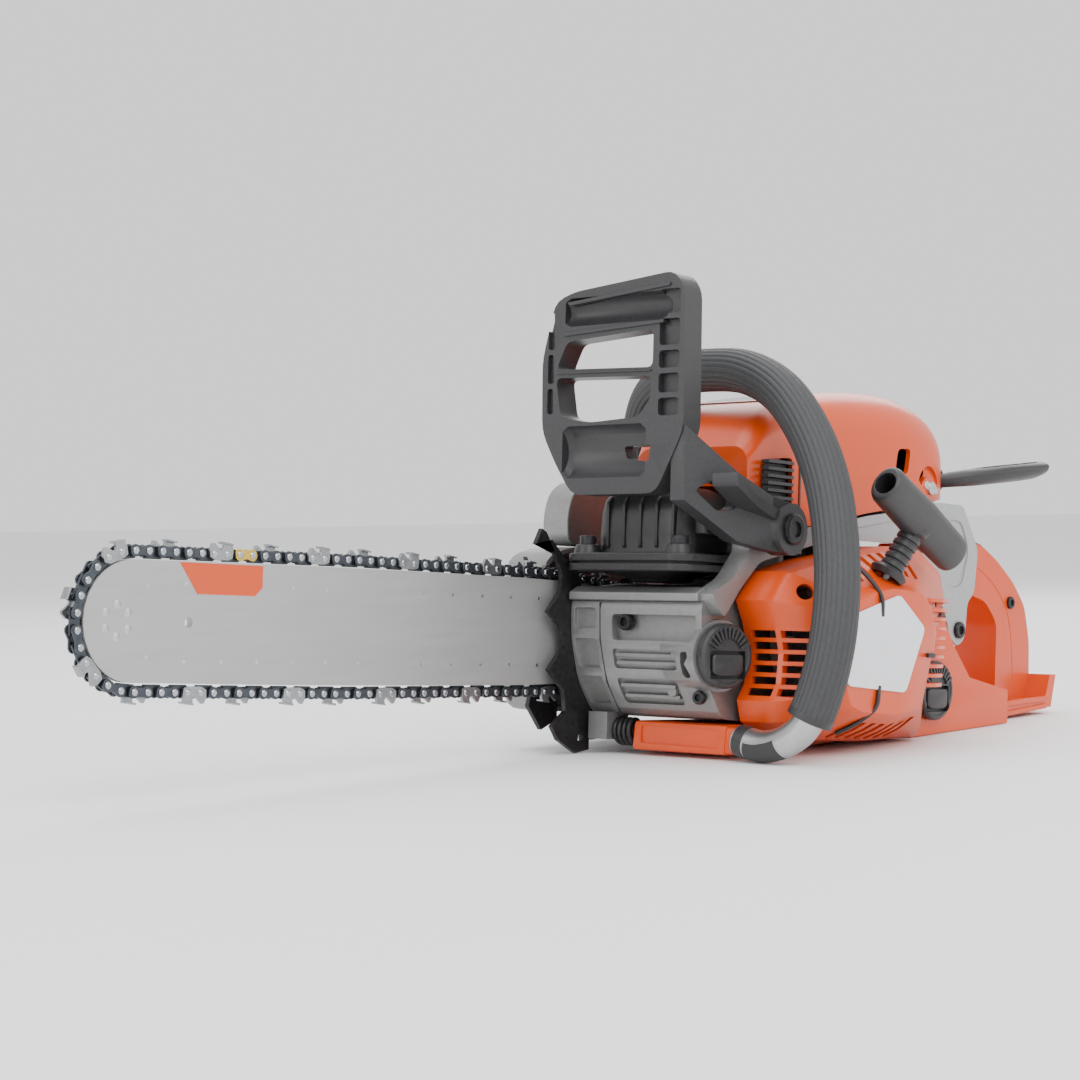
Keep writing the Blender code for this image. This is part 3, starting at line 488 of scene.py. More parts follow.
def chain():
    rivets = along(belt(4.5), 120)
    half = (rivets[1] - rivets[0]).length / 2
    strap = [(half + x, y) for x, y in arc((0, 0), 3.2, -120, 120, 8)]
    strap = strap + [(0, 2.1)] + [(-x, -y) for x, y in strap] + [(0, -2.1)]
    tooth = [(-half - 3, -2.2), (-half, -3.2), (half, -3.2), (half + 3.4, -1.6), (half + 3.6, 2.2),
             (half + 2.0, 5.4), (half + 0.6, 5.6), (0.9, 2.4), (-0.4, 1.9), (-1.2, 3.4),
             (-1.0, 5.9), (-7.2, 5.2), (-half - 3.6, 1.5)]
    drive = [(-half - 2.9, -0.6), (-half - 2.4, 2.6), (half + 2.4, 2.6), (half + 2.9, -0.6),
             (half + 1.0, -3.9), (-half - 1.0, -3.9)]
    straps, cutters, drives, pins, golds = [], [], [], [], []
    count = len(rivets)
    for i in range(0, count, 2):
        a, b, c = rivets[i], rivets[i + 1], rivets[(i + 2) % count]
        drives.append(link_plate(a, b, drive, -0.75, 0.75))
        kind = (i // 2) % 4
        left = -1 if kind == 0 else 1
        if kind in (0, 2):
            low, high = sorted((left * 1.9, left * 3.5))
            cutters.append(link_plate(b, c, tooth, low, high))
            low, high = sorted((left * 4.2, left * -0.9))
            cutters.append(link_plate(b, c, [(-7.2, 4.5), (-1.0, 5.3), (-0.9, 6.4), (-7.2, 5.5)],
                                      low, high))
            low, high = sorted((left * -1.9, left * -3.3))
            straps.append(link_plate(b, c, strap, low, high))
        else:
            target = golds if i == 110 else straps
            target.append(link_plate(b, c, strap, 1.9, 3.3))
            target.append(link_plate(b, c, strap, -3.3, -1.9))
    for p in rivets:
        pins.append(turned([(0, -4.1), (1.3, -4.1), (1.9, -3.6), (1.9, 3.6), (1.3, 4.1), (0, 4.1)],
                           (p.x, 0, p.y), (0, 1, 0), 12))
    piece("chain_straps", merged(straps), "root", "chain", 0.35, ["saw_chain"], segments=2)
    piece("chain_cutters", merged(cutters), "root", "cutter", 0.25, segments=2)
    piece("chain_drive_links", merged(drives), "root", "chain", 0.25, segments=2)
    piece("chain_rivets", merged(pins), "root", "rivet", 0.0)
    if golds:
        piece("chain_marked_link", merged(golds), "root", "gold", 0.35, segments=2)


def guide_bar():
    edge = arc((NOSE_X, 0), NOSE_R, 90, 270, 48)
    edge += smooth_2d([(NOSE_X, -NOSE_R), (-170.0, -31.5), (0.0, -30.5), (60.0, -24.5),
                       (78.0, -20.0)])
    edge += smooth_2d([(78.0, 20.0), (60.0, 24.5), (0.0, 30.5), (-170.0, 31.5),
                       (NOSE_X, NOSE_R)])
    slot = arc((66, 0), 4.2, -90, 90, 10) + arc((20, 0), 4.2, 90, 270, 10)
    holes = [slot, circle((44, -17), 3.4, 16), circle((-285, 0), 2.6, 20)]
    nose_slot = disc((NOSE_X, 0, 0), (0, 1, 0), NOSE_R + 2, -1.0, 1.0, 48, bore=9.0)
    piece("bar_blade", plate(edge, "Y", -2.25, 2.25, holes), "root", "bar", 0.35, ["guide_bar"],
          cuts=[nose_slot], segments=2)
    spots = []
    for row in (19.5, -19.5):
        for i in range(13):
            height = row * (1 if i else 0.9)
            spots.append(disc((-312 + 24.5 * i, 0, height), (0, 1, 0), 1.0, -2.33, 2.33, 12))
    piece("bar_spot_welds", merged(spots), "root", "steel", 0.0)
    studs = []
    for i in range(6):
        a = math.radians(60 * i + 30)
        studs.append(turned([(0, -2.5), (1.7, -2.5), (2.3, -2.3), (2.3, 2.3), (1.7, 2.5), (0, 2.5)],
                            (-331 + 8.0 * math.cos(a), 0, 8.0 * math.sin(a)), (0, 1, 0), 16))
    piece("bar_nose_rivets", merged(studs), "root", "bare", 0.0)
    patch = [(-292, 30.2), (-236, 30.2), (-236, 19), (-241, 14.5), (-280, 14.5)]
    shapes = [plate(patch, "Y", -2.42, -2.24), plate(patch, "Y", 2.24, 2.42)]
    piece("bar_colour_patch", merged(shapes), "root", "orange", 0.0)


def smooth_2d(points, per_span=6):
    """A smooth curve in a plane, without its first point."""
    path = smooth_path([Vector((p[0], p[1], 0)) for p in points], per_span)
    return [(p.x, p.y) for p in path[1:]]


# ---------------------------------------------------------------- crankcase and engine

FRONT = [(24, -49.5), (22, -47), (8, -28), (1, -4), (0, 19), (8, 26)]


def front_x(z):
    """The crankcase's front face at a height."""
    for (x0, z0), (x1, z1) in zip(FRONT, FRONT[1:]):
        if z <= z1:
            return x0 + (x1 - x0) * (z - z0) / (z1 - z0)
    return FRONT[-1][0]


def pocket(y0, y1, z0, z1, depth, corner=2.5):
    """A recess into the crankcase's front face."""
    outline = rounded([(y0, z0), (y1, z0), (y1, z1), (y0, z1)], corner, 3)
    near = [Vector((front_x(z) - 8, y, z)) for y, z in outline]
    far = [Vector((front_x(z) + depth, y, z)) for y, z in outline]
    return loft([near, far])


def crankcase():
    left_cuts = [pocket(-104, -43, -3.5, 11.5, 6.0), pocket(-92, -42, -20, -8.5, 2.4),
                 pocket(-86, -42, -40, -25.5, 2.4), pocket(-102, -96, -24, -9, 2.0)]
    recut("crankcase_left", "crankcase_left_casting", "cast", left_cuts, bevel=0.9)
    right_cuts = [pocket(-31, -14.5, 3, 15, 2.5), pocket(-31, -14.5, -20, -3, 2.5),
                  pocket(-31, -14.5, -41, -25, 2.5)]
    recut("crankcase_right", "crankcase_right_casting", "cast", right_cuts, bevel=0.9)
    ribs = []
    for y0, y1, z in ((-90, -44, -12), (-90, -44, -16.5), (-84, -44, -29.5), (-84, -44, -35.5)):
        rib = plate([(y0, z - 1.1), (y1, z - 1.1), (y1, z + 1.1), (y0, z + 1.1)], "X", 0, 3.2)
        ribs.append(moved(rib, Matrix.Translation((front_x(z) - 0.4, 0, 0))))
    for z in (-10, -32):
        ribs.append(disc((front_x(z) - 0.3, -88 if z > -20 else -80, z), (1, 0, 0), 3.2, 0, 4, 20))
    piece("crankcase_front_ribs", merged(ribs), "root", "cast", 0.5)
    seam = plate([(front_x(z) - 0.25, z) for z in (-46, -28, -4, 18)]
                 + [(front_x(z) + 1.2, z) for z in (18, -4, -28, -46)], "Y", -34.35, -33.75)
    piece("crankcase_gasket", seam, "root", "dark", 0.0)
    screws = [screw_head((4.5, -52, 7), (-1, 0, 0), 5.0, 5.0),
              screw_head((12, -100, -35), (-1, -0.2, 0), 4.0, 4.0)]
    piece("crankcase_screws", merged(screws), "root", "dark_steel", 0.25)
    lip = [(-3, 19.5), (-3, 24), (4, 27.5), (40, 27.5), (40, 24), (6, 22), (1, 19.5)]
    piece("crankcase_top_flange", plate(lip, "Y", -107, -12.5), "root", "cast", 0.8)


def muffler():
    flange = rounded([(-12, -96), (-4, -104), (48, -104), (61, -94), (61, -22), (48, -12),
                      (-4, -12), (-12, -22)], 8, 5)
    rows = []
    for z, shrink in ((46.8, -1), (49, 0), (58, -0.5), (70, 0), (78, 1.5), (83, 5), (85.5, 10),
                      (86, 16)):
        loop = rounded([(4 + shrink, -92 + shrink), (56 - shrink, -92 + shrink),
                        (56 - shrink, -24 - shrink), (4 + shrink, -24 - shrink)],
                       15 - shrink / 3, 6)
        rows.append([lift(p, "Z", z) for p in loop])
    funnel = []
    for z, half in ((30.5, 15), (33, 17), (36.5, 25)):
        funnel.append([lift(p, "Z", z) for p in
                       rounded([(26 - half, -58 - half), (26 + half, -58 - half),
                                (26 + half, -58 + half), (26 - half, -58 + half)], 11, 5)])
    shapes = [plate(flange, "Z", 36.3, 40.6), plate(flange, "Z", 41.8, 46.6), loft(rows),
              loft(funnel)]
    inset = rounded([(-9, -93), (-3, -100), (47, -100), (57, -92), (57, -24), (47, -15.5),
                     (-3, -15.5), (-9, -24)], 8, 5)
    shapes.append(plate(inset, "Z", 40, 42.5))
    for y in (-92.0, -24.0):
        shapes.append(turned([(0, 46), (8.5, 46), (7.6, 50), (7.0, 52), (0, 52)],
                             (0, y, 0), (0, 0, 1), 24))
    piece("muffler_can", merged(shapes), "root", "black", 0.9, ["muffler"])
    ribs = []
    for y in (-84, -72, -60, -48, -36):
        ribs.append(plate(rounded([(2.6, 50), (2.6, 76), (6, 80), (12, 80), (12, 50)], 1.5, 3),
                          "Y", y - 1.0, y + 1.0))
    piece("muffler_ribs", merged(ribs), "root", "black", 0.4)
    for side, y in (("left", -92.0), ("right", -24.0)):
        head = turned([(0, 52), (5.0, 52), (5.0, 56.2), (4.4, 57), (2.7, 57), (2.7, 53.6),
                       (0, 53.6)], (0, y, 0), (0, 0, 1), 24)
        piece("muffler_socket_screw_" + side, head, "root", "dark_steel", 0.2,
              ["muffler_bolt_" + side])
    strip = plate(rounded([(6, -66), (24, -66), (24, -26), (6, -26)], 3), "Z", 86.2, 87.6)
    piece("muffler_heat_strip", strip, "root", "bare", 0.3)
    outlet = plate(rounded([(14, -100), (46, -100), (46, -88), (14, -88)], 4), "Z", 58, 72)
    piece("muffler_outlet", outlet, "root", "black", 1.0)


# ---------------------------------------------------------------- hand guard

def ellipse_bar(y0, y1, cx, cz, rx, rz, taper=0.75, steps=28):
    """A rounded trough shape along Y."""
    rows = []
    for y, k in ((y0, taper), (y0 + 4, 0.97), (y1 - 4, 0.97), (y1, taper)):
        rows.append([Vector((cx + rx * k * math.cos(2 * math.pi * i / steps), y,
                             cz + rz * k * math.sin(2 * math.pi * i / steps)))
                     for i in range(steps)])
    return loft(rows)


def hand_guard():
    cuts = [ellipse_bar(-90, -14, -17, 187, 11, 9), ellipse_bar(-76, -14, -19, 105, 14, 17, 0.8)]
    for z0, z1 in ((182, 196), (164, 179), (151, 161), (137, 148), (124, 134)):
        cuts.append(plate(rounded([(-99, z0), (-84.5, z0), (-84.5, z1), (-99, z1)], 2, 2),
                          "X", -20, -9.5))
    for z0, z1 in ((166, 188), (146, 163), (128, 143)):
        cuts.append(plate(rounded([(-6.5, z0), (-1.5, z0), (-1.5, z1), (-5.5, z1)], 1.5, 2),
                          "X", -20, -11))
    cuts.append(plate(rounded([(-8, 82), (2, 88), (16, 82), (14, 72), (4, 70)], 3, 3),
                      "Y", -127, -100))
    recut("hand_guard", "hand_guard_shell", "dark", cuts, bevel=1.0)
    ledges = [plate(rounded([(-88, 176.8), (-14, 173.2), (-14, 175.2), (-88, 178.8)], 0.8, 2),
                    "X", -15.4, -8),
              plate(rounded([(-92, 197.6), (-18, 191), (-16, 193), (-92, 199.6)], 0.8, 2),
                    "X", -15.4, -8),
              plate([(-79, 149.6), (-9, 151.2), (-9, 152.2), (-79, 150.6)], "X", -15.2, -10)]
    piece("hand_guard_ledges", merged(ledges), "guard", "dark", 0.4)
    ridge = [(-6, 84), (14, 73), (34, 66), (40, 68), (36, 72), (14, 80), (-6, 92)]
    piece("hand_guard_arm_ridge", plate(rounded(ridge, 2, 3), "Y", -135.5, -118), "guard", "dark",
          1.0)
    cap = screw_head((46, -137.3, 62), (0, -1, 0), 9.0, 2.7)
    piece("guard_pivot_head", cap, "root", "dark_steel", 0.2, ["guard_pivot_screw"])


# ---------------------------------------------------------------- handles

HANDLE_ROUTE = [(24, -119.6, -58.5), (22.5, -138, -60.9), (20.5, -156, -56), (21.5, -169, -43),
                (26, -177, -12), (31, -178, 20), (37, -173, 52), (44, -162, 86), (50, -145, 116),
                (55, -122, 141), (60, -94, 155), (66, -62, 159), (74, -30, 158), (84, -4, 148),
                (91, 9, 128), (97, 12, 100), (105, 12, 80), (124, 11, 67), (154, 9, 63),
                (190, 8, 62)]


def handles():
    route = smooth_path(HANDLE_ROUTE, 8)
    piece("front_handle_tube", swept(route, 9.0, 32), "root", "bare", 0.0, ["front_handle"])
    grip = route[24:121]
    piece("handle_sleeve", swept(grip, 13.0, 96, bore=9.3, flute=0.45), "root", "rubber", 0.0,
          ["handle_grip"])
    rings = []
    for i in (24, 120):
        a, b = route[i], route[i + 1]
        rings.append(disc(a, b - a, 13.1, -2.2, 2.2, 40, bore=9.2))
    a, b = route[2], route[3]
    rings.append(disc(a, b - a, 9.4, -4, 3, 40, bore=8.8))
    piece("handle_collars", merged(rings), "root", "dark", 0.5)
    insert = swept([p + Vector((-0.6, 0.4, -0.7)) for p in route[4:15]], 8.5, 28)
    piece("handle_insert", insert, "root", "dark", 0.0)


# ---------------------------------------------------------------- starter side

STARTER_RIM = [(30, -36), (37, -26), (39, -8), (34, 8), (27, 21), (42, 38), (76, 46), (121, 53),
               (150, 57), (184, 56), (206, 44), (212, 28), (202, 16), (187, 9), (182, -58),
               (120, -60), (52, -58), (34, -48)]
STARTER_FACE = [(58, -31), (56.8, -22), (56, -6), (57, 6), (59, 14), (67, 22), (84, 28),
                (104, 31.5), (122, 31), (138, 28), (147, 18), (152, 4), (150, -6), (147, -13),
                (138, -38), (112, -44), (74, -42), (62, -38)]
ROPE_EXIT = Vector((110.0, -160.0, 38.5))
ROPE_DIR = Vector((0.415, -0.300, 0.860)).normalized()


def starter_section(y, blend, inset=0.0):
    """The starter cover's outline between its rim (0) and its outer face (1)."""
    middle = Vector((104, -3))
    loop = []
    for rim, face in zip(STARTER_RIM, STARTER_FACE):
        point = Vector(rim).lerp(Vector(face), blend)
        point += (middle - point).normalized() * inset
        loop.append(lift(point, "Y", y))
    return loop


def slanted(x0, x1, y0, y1, z0, z1, lean):
    """A block whose top is shifted along X."""
    near = [Vector((x0, y, z0)) for y in (y0, y1)] + [Vector((x1, y, z0)) for y in (y1, y0)]
    far = [p + Vector((lean, 0, z1 - z0)) for p in near]
    return loft([near, far])


def starter_side():
    outer = [starter_section(-112, 0), starter_section(-134, 0), starter_section(-139, 0.07),
             starter_section(-152, 0.45), starter_section(-163, 0.86),
             starter_section(-166.6, 0.96, 0.4), starter_section(-168, 1, 1.4)]
    inner = [starter_section(-112, 0, 4), starter_section(-133, 0, 4),
             starter_section(-150, 0.45, 4), starter_section(-165, 0.93, 4)]
    cuts = [disc(ROPE_EXIT, ROPE_DIR, 3.4, -16, 14, 20)]
    for i in range(6):
        z = -33 + 6.6 * i
        cuts.append(box((16, -134, z), (52, -117, z + 4.2)))
        cuts.append(box((16, -155, z), (53, -137, z + 4.2)))
    for i in range(7):
        cuts.append(slanted(80 + 9.4 * i, 84.4 + 9.4 * i, -159, -140, 26, 70, 16))
        cuts.append(slanted(70 + 10 * i, 74.6 + 10 * i, -159, -140, -70, -38, 12))
    for i in range(10):
        z = -30 + 5.6 * i
        cuts.append(box((150 + max(0, i - 5), -160, z), (215, -140, z + 3.2)))
    cuts.append(disc((46, -146, 26), (1, 0.9, -0.3), 5.0, -20, 12, 20))
    piece("starter_cover_shell", cup(outer, inner), "root", "orange", 0.7, ["starter_cover"],
          cuts=cuts)
    blank = rounded([(57.5, -26), (57.5, 13), (110, 27), (138, 8), (118, -30)], 4, 4)
    piece("side_blank_panel", plate(blank, "Y", -169.2, -168.1), "root", "decal", 0.3,
          ["side_plate"])
    clips = []
    for route in ([(92, -168.8, 14), (90, -168.9, 26), (85, -161, 38), (80, -150, 48)],
                  [(90, -168.8, -26), (87, -168.9, -38), (81, -161, -47), (74, -150, -54)],
                  [(141, -168.8, -8), (149, -168.6, -8), (157, -159.5, -9), (166, -150, -10)]):
        clips.append(swept(smooth_path(route, 6), 1.3, 10))
    piece("cover_clips", merged(clips), "root", "dark", 0.0)
    fins = []
    for i in range(10):
        z = -26.8 + 5.6 * i
        outline = rounded([(143, -166.5), (160, -165.8), (178, -159), (188, -146), (186, -138),
                           (150, -138)], 4, 4)
        fins.append(plate([(x + 0.12 * z, y) for x, y in outline], "Z", z, z + 2.4))
    piece("cover_fins", merged(fins), "root", "orange", 0.5)
    socket = turned([(3.6, 0), (9.5, -2), (11.5, 1.5), (9.0, 4.0), (3.6, 4.0)], ROPE_EXIT, ROPE_DIR,
                    28, closed=True)
    piece("rope_bush", socket, "root", "dark", 0.3)

    side = (Vector((0.954, 0.0, -0.300)) - ROPE_DIR * Vector((0.954, 0, -0.3)).dot(ROPE_DIR))
    side.normalize()
    across = ROPE_DIR.cross(side)
    middle = ROPE_EXIT + ROPE_DIR * 38
    rows = []
    for t, half in ((-45, 9.6), (-44, 11.2), (-41, 12.0), (-30, 12.2), (-12, 12.6), (0, 13.0),
                    (12, 12.6), (30, 12.2), (41, 12.0), (44, 11.2), (45, 9.6)):
        rows.append([middle + side * t + ROPE_DIR * (half * math.cos(a))
                     + across * (0.78 * half * math.sin(a))
                     for a in (2 * math.pi * k / 32 for k in range(32))])
    hollows = [disc(middle, side, 6.6, -60, -24, 24), disc(middle, side, 6.6, 24, 60, 24)]
    piece("starter_grip_bar", loft(rows), "starter_grip", "dark", 0.5, ["starter_handle"],
          cuts=hollows)
    stem = [(0, 3.8), (6.0, 3.8)]
    for k in range(5):
        foot = 4.6 * k
        stem += [(7.4, 5 + foot), (7.4, 7.6 + foot), (6.3, 8.2 + foot), (6.3, 9.0 + foot)]
    stem += [(8.5, 29), (10, 33), (0, 33)]
    piece("starter_grip_stem", turned(stem, ROPE_EXIT, ROPE_DIR, 28), "starter_grip", "dark", 0.3)


# ---------------------------------------------------------------- covers

SEAM_X = 88                   # where the cover's nose section meets its main part


def cover_rows(rows, per_span=4):
    """More sections between the given ones, on a smooth curve."""
    firsts = smooth_path([row[:3] for row in rows], per_span)
    lasts = smooth_path([row[3:6] for row in rows], per_span)
    corners = smooth_path([(row[6], 0, 0) for row in rows], per_span)
    return [(a.x, a.y, a.z, b.x, b.y, b.z, max(4.0, c.x))
            for a, b, c in zip(firsts, lasts, corners)]


def covers():
    rows = [(46, -104, -22, 88, 88, 111, 10), (60, -107, -16, 84, 80, 127, 14),
            (80, -112, -12, 68, 58, 139, 20), (108, -116, -10, 68, 57, 146, 24),
            (150, -118, -8, 77, 57, 152, 28), (200, -118, -8, 84, 57, 154, 30),
            (236, -114, -10, 90, 57, 147, 28), (254, -106, -16, 92, 60, 132, 22),
            (261, -98, -22, 94, 64, 116, 14)]
    fine = cover_rows(rows)
    inner = [arch(x, yl + 3, yr - 3, zl - 30, zr - 30, top - 3, corner - 2)
             for x, yl, yr, zl, zr, top, corner in fine[4:-5:4]]
    slot = rounded([(181, 103), (196, 104), (199, 120), (184, 119)], 4, 4)
    crescent = arc((224, 96), 15, 20, 160, 12) + arc((224, 92), 12, 150, 30, 10)
    vent = rounded([(52, 58), (80, 58), (80, 106), (56, 104)], 3, 3)
    cuts = [loft(inner), plate(slot, "Y", -122, -113), plate(crescent, "Y", -122, -112.5),
            plate(vent, "Y", -118, -107.5)]
    obj = piece("cylinder_cover_shell", loft([arch(*row) for row in fine]), "root", "orange", 0.8,
                ["cylinder_cover"], cuts=cuts)
    obj.data.materials.append(M["dark"])
    to_design = TO_WORLD.inverted()
    for polygon in obj.data.polygons:
        centre = to_design @ polygon.center
        if 92 < centre.x < 246 and -86 < centre.y < -38 and centre.z > 138:
            polygon.material_index = 1
    slats = []
    for i in range(11):
        z = 59.5 + 4.2 * i
        slats.append(slanted(53 + 0.05 * i, 79, -113.5 - 0.06 * i, -108.4, z, z + 2.0, 0.4))
    slats.append(plate(rounded([(53, 58.5), (79, 58.5), (79, 105), (57, 103)], 3, 3),
                       "Y", -108.6, -107.2))
    piece("intake_slats", merged(slats), "root", "dark", 0.3)
    x, yl, yr, zl, zr, top, corner = min(fine, key=lambda row: abs(row[0] - SEAM_X))
    lip = [arch(x + d, yl - 0.5, yr + 0.5, zl + 2, zr + 2, top + 0.5, corner)
           for d in (-0.8, 0.8)]
    piece("cover_seam", loft(lip), "root", "dark", 0.2)
    clip = [plate(rounded([(217, 97), (232, 93), (234, 97), (219, 102)], 2, 3), "Y", -117.4, -113),
            disc((226, 0, 97), (0, -1, 0), 4.2, 112.5, 117.8, 24)]
    piece("cover_clip", merged(clip), "root", "steel", 0.3)

    panel = [(101, 60), (101, 66), (150, 75.5), (200, 82), (222, 88), (258, 88), (277, 60),
             (273, 32), (265, 26), (263, 4), (254, -3), (244, 4), (240, 16), (216, 48), (206, 60)]
    dent = rounded([(216, 60), (228, 78), (256, 78), (266, 60), (258, 36), (240, 34)], 6, 4)
    band = rounded([(112, 63.5), (150, 70), (204, 78), (206, 68), (150, 64)], 2, 3)
    piece("rear_side_panel", plate(rounded(panel, 5, 4), "Y", -121.0, -118.4), "root", "pale", 0.6,
          ["side_panel"], cuts=[plate(dent, "Y", -123, -120.0), plate(band, "Y", -123, -120.2)],
          joins=[disc((254, 0, 8), (0, 1, 0), 9.0, -121.0, -100.0, 28)])
    piece("av_screw_head", screw_head((254, -121.2, 8), (0, -1, 0), 5.4, 2.6), "root",
          "dark_steel", 0.2, ["av_screw"])


# ---------------------------------------------------------------- tank unit and small parts

def tank():
    loop_seam = smooth_path([(250, -96.15, 40), (300, -96.15, 52), (332, -96.15, 44),
                             (358, -96.15, 22), (366, -96.15, -10), (366, -96.15, -36)], 6)
    cuts = [swept(loop_seam, 0.7, 8)]
    recess = rounded([(200, -44), (228, -44), (228, -16), (200, -16)], 12, 6)
    cuts.append(plate(recess, "Y", -130, -126.6))
    front = rounded([(-106, -64), (-50, -63), (-50, -53), (-106, -53)], 2, 3)
    cuts.append(plate(front, "X", 16, 22.4))
    recut("tank_unit", "tank_and_handle", "orange", cuts, bevel=2.2, segments=4)
    piece("rear_handle_screw_head", screw_head((362, -96.2, 28), (0, -1, 0), 4.2, 1.8), "root",
          "dark_steel", 0.2, ["rear_handle_screw"])
    rails = [plate([(244, -43), (300, -40), (384, -34.5), (384, -38), (300, -43.5), (244, -46)],
                   "Y", -113.6, -111.0),
             plate([(244, -51), (312, -46.5), (384, -39.5), (384, -43), (312, -50.0), (244, -54.4)],
                   "Y", -113.6, -111.0)]
    piece("guard_tray_rims", merged(rails), "root", "orange", 0.8)


def coil(name, start, end, radius, wire, turns, node):
    """A wound spring around a plain core, which stands for a CAD node."""
    start, end = Vector(start), Vector(end)
    axis = (end - start).normalized()
    side = axis.orthogonal().normalized()
    up = axis.cross(side)
    steps = turns * 20
    path = []
    for i in range(steps + 1):
        a = 2 * math.pi * turns * i / steps
        path.append(start.lerp(end, i / steps) + (side * math.cos(a) + up * math.sin(a)) * radius)
    core = disc(start, axis, radius - wire - 0.6, 0, (end - start).length, 20)
    piece(name, merged([swept(path, wire, 10), core]), "root", "dark_steel", 0.0, [node])


def caps():
    for name, tab_body, spot, facing in (("oil_cap", "oil_tab", (14.0, -112.0, -11.0),
                                          (-0.22, -0.975, 0)),
                                         ("fuel_cap", "fuel_tab", (209.0, -128.3, -30.0),
                                          (0, -1.0, 0))):
        spot = Vector(spot)
        facing = Vector(facing).normalized()
        across = facing.cross(Vector((0, 0, 1)))
        body = turned([(0, 0), (17.2, 0), (18.5, 1.2), (18.5, 5.0), (17.4, 6.6), (15.6, 7.0),
                       (15.0, 6.2), (0, 6.2)], spot, facing, 48)
        recess = loft([[spot + facing * d + across * u + Vector((0, 0, v)) for u, v in
                        rounded([(-13, -13), (13, -13), (13, 3), (-13, 3)], 1.2, 3)]
                       for d in (3.0, 9.0)])
        piece(name + "_body", body, name, "dark", 0.4, [name], cuts=[recess])
        grips = []
        for k in range(11):
            a = math.radians(28 + 12.4 * k)
            foot = spot + across * (13.2 * math.cos(a)) + Vector((0, 0, 13.2 * math.sin(a)))
            out = (across * math.cos(a) + Vector((0, 0, math.sin(a))))
            turn = facing.cross(out)
            grips.append(loft([[foot + out * u + turn * w + facing * d for u, w in
                                ((-3.4, -0.7), (3.6, -0.9), (3.6, 0.9), (-3.4, 0.7))]
                               for d in (6.0, 7.6)]))
        piece(name + "_ridges", merged(grips), name, "dark", 0.25)
        outline = rounded([(-11.5, -9.5), (-7, -11.5), (7, -11.5), (11.5, -9.5), (11.5, 0.9),
                           (-11.5, 0.9)], 2.5, 4)
        tab = [[spot + facing * d + across * (u * k) + Vector((0, 0, v * k)) for u, v in outline]
               for d, k in ((3.5, 0.97), (5.0, 1.0), (6.5, 0.98), (7.2, 0.88))]
        piece(name + "_flip_tab", loft(tab), tab_body, "dark", 0.3, [name + "_tab"])


def stop_lever():
    rows = []
    for x, y, z, half_w, half_h in ((266, -90, 105, 4.5, 5), (274, -101, 107.5, 8, 6.5),
                                    (288, -110, 110, 10.5, 7.5), (304, -118, 113, 11.6, 8),
                                    (318, -122.5, 115, 12, 8), (330, -126, 116.6, 11.6, 7.5),
                                    (337, -128.6, 118, 9.6, 6.2), (341, -130, 119, 5.6, 3.6)):
        rows.append([Vector((x, y + half_w * math.cos(a), z + half_h * math.sin(a)
                             * (1.0 if math.sin(a) < 0 else 0.55)))
                     for a in (2 * math.pi * k / 24 for k in range(24))])
    scoop = []
    for x, y, z, w, h in ((282, -106, 117, 3, 2), (290, -111, 118, 7.4, 5.4),
                          (306, -118.5, 121, 8.8, 7.4), (320, -123, 122.6, 9, 7.4),
                          (331, -126.5, 123, 7.6, 5.4), (336, -128.4, 123, 3, 2)):
        scoop.append([Vector((x, y + w * math.cos(a), z + h * math.sin(a)))
                      for a in (2 * math.pi * k / 20 for k in range(20))])
    hub = disc((269, 0, 106), (0, 1, 0), 7.5, -95.0, -85.0, 28)
    piece("stop_lever_blade", loft(rows), "lever", "dark", 0.6, ["stop_lever"], cuts=[loft(scoop)],
          joins=[hub])


def clutch_side():
    recut("clutch_cover", "clutch_cover_shell", "cast", bevel=2.0, segments=4)
    recut("brake_housing", "brake_housing_shell", "cast", bevel=1.6)
    ribs = []
    for i in range(6):
        ribs.append(plate(rounded([(70 + 12 * i, 30 - 2 * i), (76 + 12 * i, 30 - 2 * i),
                                   (70 + 12 * i, -28 + 2 * i), (64 + 12 * i, -28 + 2 * i)], 2.5, 3),
                          "Y", 41.5, 44.5))
    ribs.append(plate(rounded([(12, 14), (74, 14), (78, 0), (74, -14), (12, -14)], 6),
                      "Y", 41.5, 42.2))
    piece("clutch_cover_ribs", merged(ribs), "root", "cast", 0.6)


def plain_nodes():
    """A finish for every CAD node that still shows."""
    looks = {"air_filter": "black", "av_spring_rear": "dark_steel", "bar_nut_front": "dark_steel",
             "bar_nut_rear": "dark_steel", "bar_stud_front": "steel", "bar_stud_rear": "steel",
             "brake_band": "dark_steel", "bumper_inner": "dark_steel", "bumper_outer": "dark_steel",
             "carburettor": "bare", "chain_catcher": "pale", "chain_tensioner": "steel",
             "clutch_drum": "steel", "clutch_hub": "dark_steel", "connecting_rod": "steel",
             "crankshaft": "steel", "cylinder": "cast", "flywheel": "cast",
             "flywheel_nut": "dark_steel", "ignition_module": "black", "intake_boot": "rubber",
             "nose_sprocket": "dark_steel", "oil_pump": "brass", "piston": "bare",
             "recoil_spring_case": "dark", "rim_sprocket": "steel", "spark_plug": "pale",
             "spark_plug_cap": "rubber", "starter_pulley": "dark", "starter_rope": "pale",
             "throttle_lockout": "dark", "throttle_trigger": "dark", "wrist_pin": "bare"}
    for name, node in NODES.items():
        if node.hide_render:
            continue
        look = looks.get(name, "dark")
        node.data.materials.clear()
        node.data.materials.append(M[look])
        round_edges(node, 0.5, 2)


# ---------------------------------------------------------------- scene

CAMERA_PLACE = (-1081.9, -927.0, 0.0)     # design millimetres
CAMERA_RIGHT = (0.6551, -0.7551, 0.0260)
CAMERA_AHEAD = (0.7541, 0.6556, 0.0381)
CAMERA_LENS = 80.2                        # millimetres on a 36 mm wide sensor
AIM = Vector((0.02, 0.0, 0.12))           # the point that the lights face, in metres


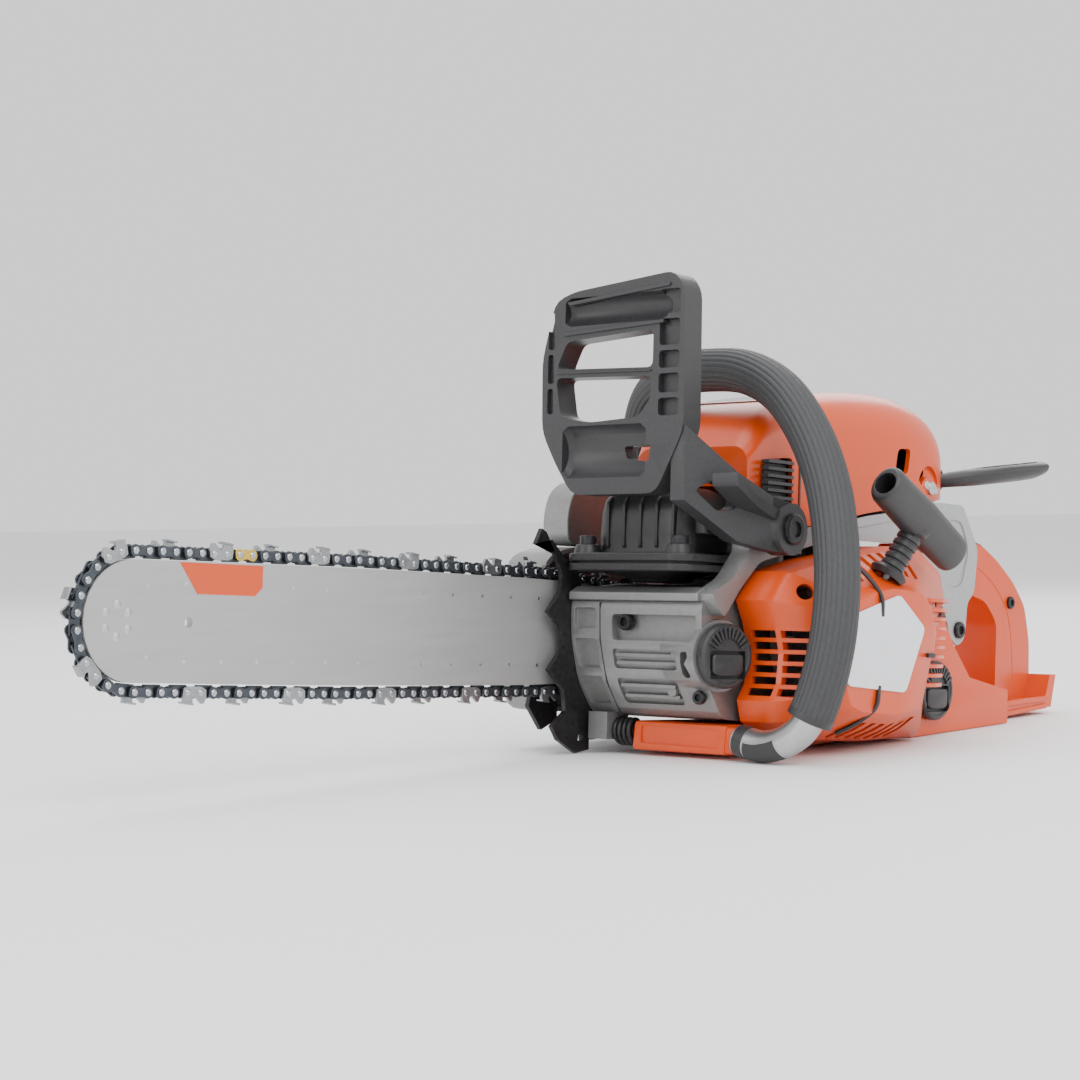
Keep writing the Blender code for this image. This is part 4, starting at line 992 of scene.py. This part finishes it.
def studio():
    """The camera, the floor and the soft lights."""
    centre = TO_WORLD @ Vector(CAMERA_PLACE)
    turn = Matrix.Rotation(TILT, 3, "Y")
    right = (turn @ Vector(CAMERA_RIGHT)).normalized()
    ahead = turn @ Vector(CAMERA_AHEAD)
    ahead = (ahead - right * ahead.dot(right)).normalized()
    up = right.cross(ahead)
    camera = bpy.data.objects.new("camera", bpy.data.cameras.new("camera"))
    camera.data.lens = CAMERA_LENS
    camera.data.sensor_width = 36.0
    camera.data.clip_start = 0.02
    camera.matrix_world = Matrix.Translation(centre) @ Matrix(
        (right, up, -ahead)).transposed().to_4x4()
    bpy.context.scene.collection.objects.link(camera)
    bpy.context.scene.camera = camera

    floor_mesh = bmesh.new()
    bmesh.ops.create_circle(floor_mesh, cap_ends=True, segments=64, radius=30.0)
    floor = new_object("floor", floor_mesh)
    floor.location.z = -0.0005
    floor.data.materials.append(material("floor", (0.86, 0.86, 0.86), 0.75, grain=3, tint=0.01,
                                         bump=0.0))

    for name, place, size, power in (("key", (-1.3, -1.9, 2.1), 1.6, 44.0),
                                     ("left", (-2.4, 0.6, 1.2), 1.4, 22.0),
                                     ("top", (0.1, 0.3, 2.3), 1.8, 30.0),
                                     ("rear", (1.9, 1.0, 1.5), 1.4, 22.0),
                                     ("side", (1.2, -2.2, 0.9), 1.2, 10.0)):
        light = bpy.data.objects.new(name, bpy.data.lights.new(name, "AREA"))
        light.data.shape = "RECTANGLE"
        light.data.size = size
        light.data.size_y = size
        light.data.energy = power
        light.location = place
        beam = AIM - Vector(place)
        light.rotation_euler = beam.to_track_quat("-Z", "Y").to_euler()
        bpy.context.scene.collection.objects.link(light)
    world = bpy.data.worlds.new("world")
    world.use_nodes = True
    world.node_tree.nodes["Background"].inputs["Color"].default_value = (1, 1, 1, 1)
    world.node_tree.nodes["Background"].inputs["Strength"].default_value = 1.2
    bpy.context.scene.world = world


guide_bar()
chain()
crankcase()
muffler()
hand_guard()
handles()
starter_side()
covers()
tank()
coil("av_coil_front", (26, -44.4, -57), (26, -30.6, -57), 7.0, 1.5, 4, "av_spring_front")
caps()
stop_lever()
clutch_side()
plain_nodes()
studio()
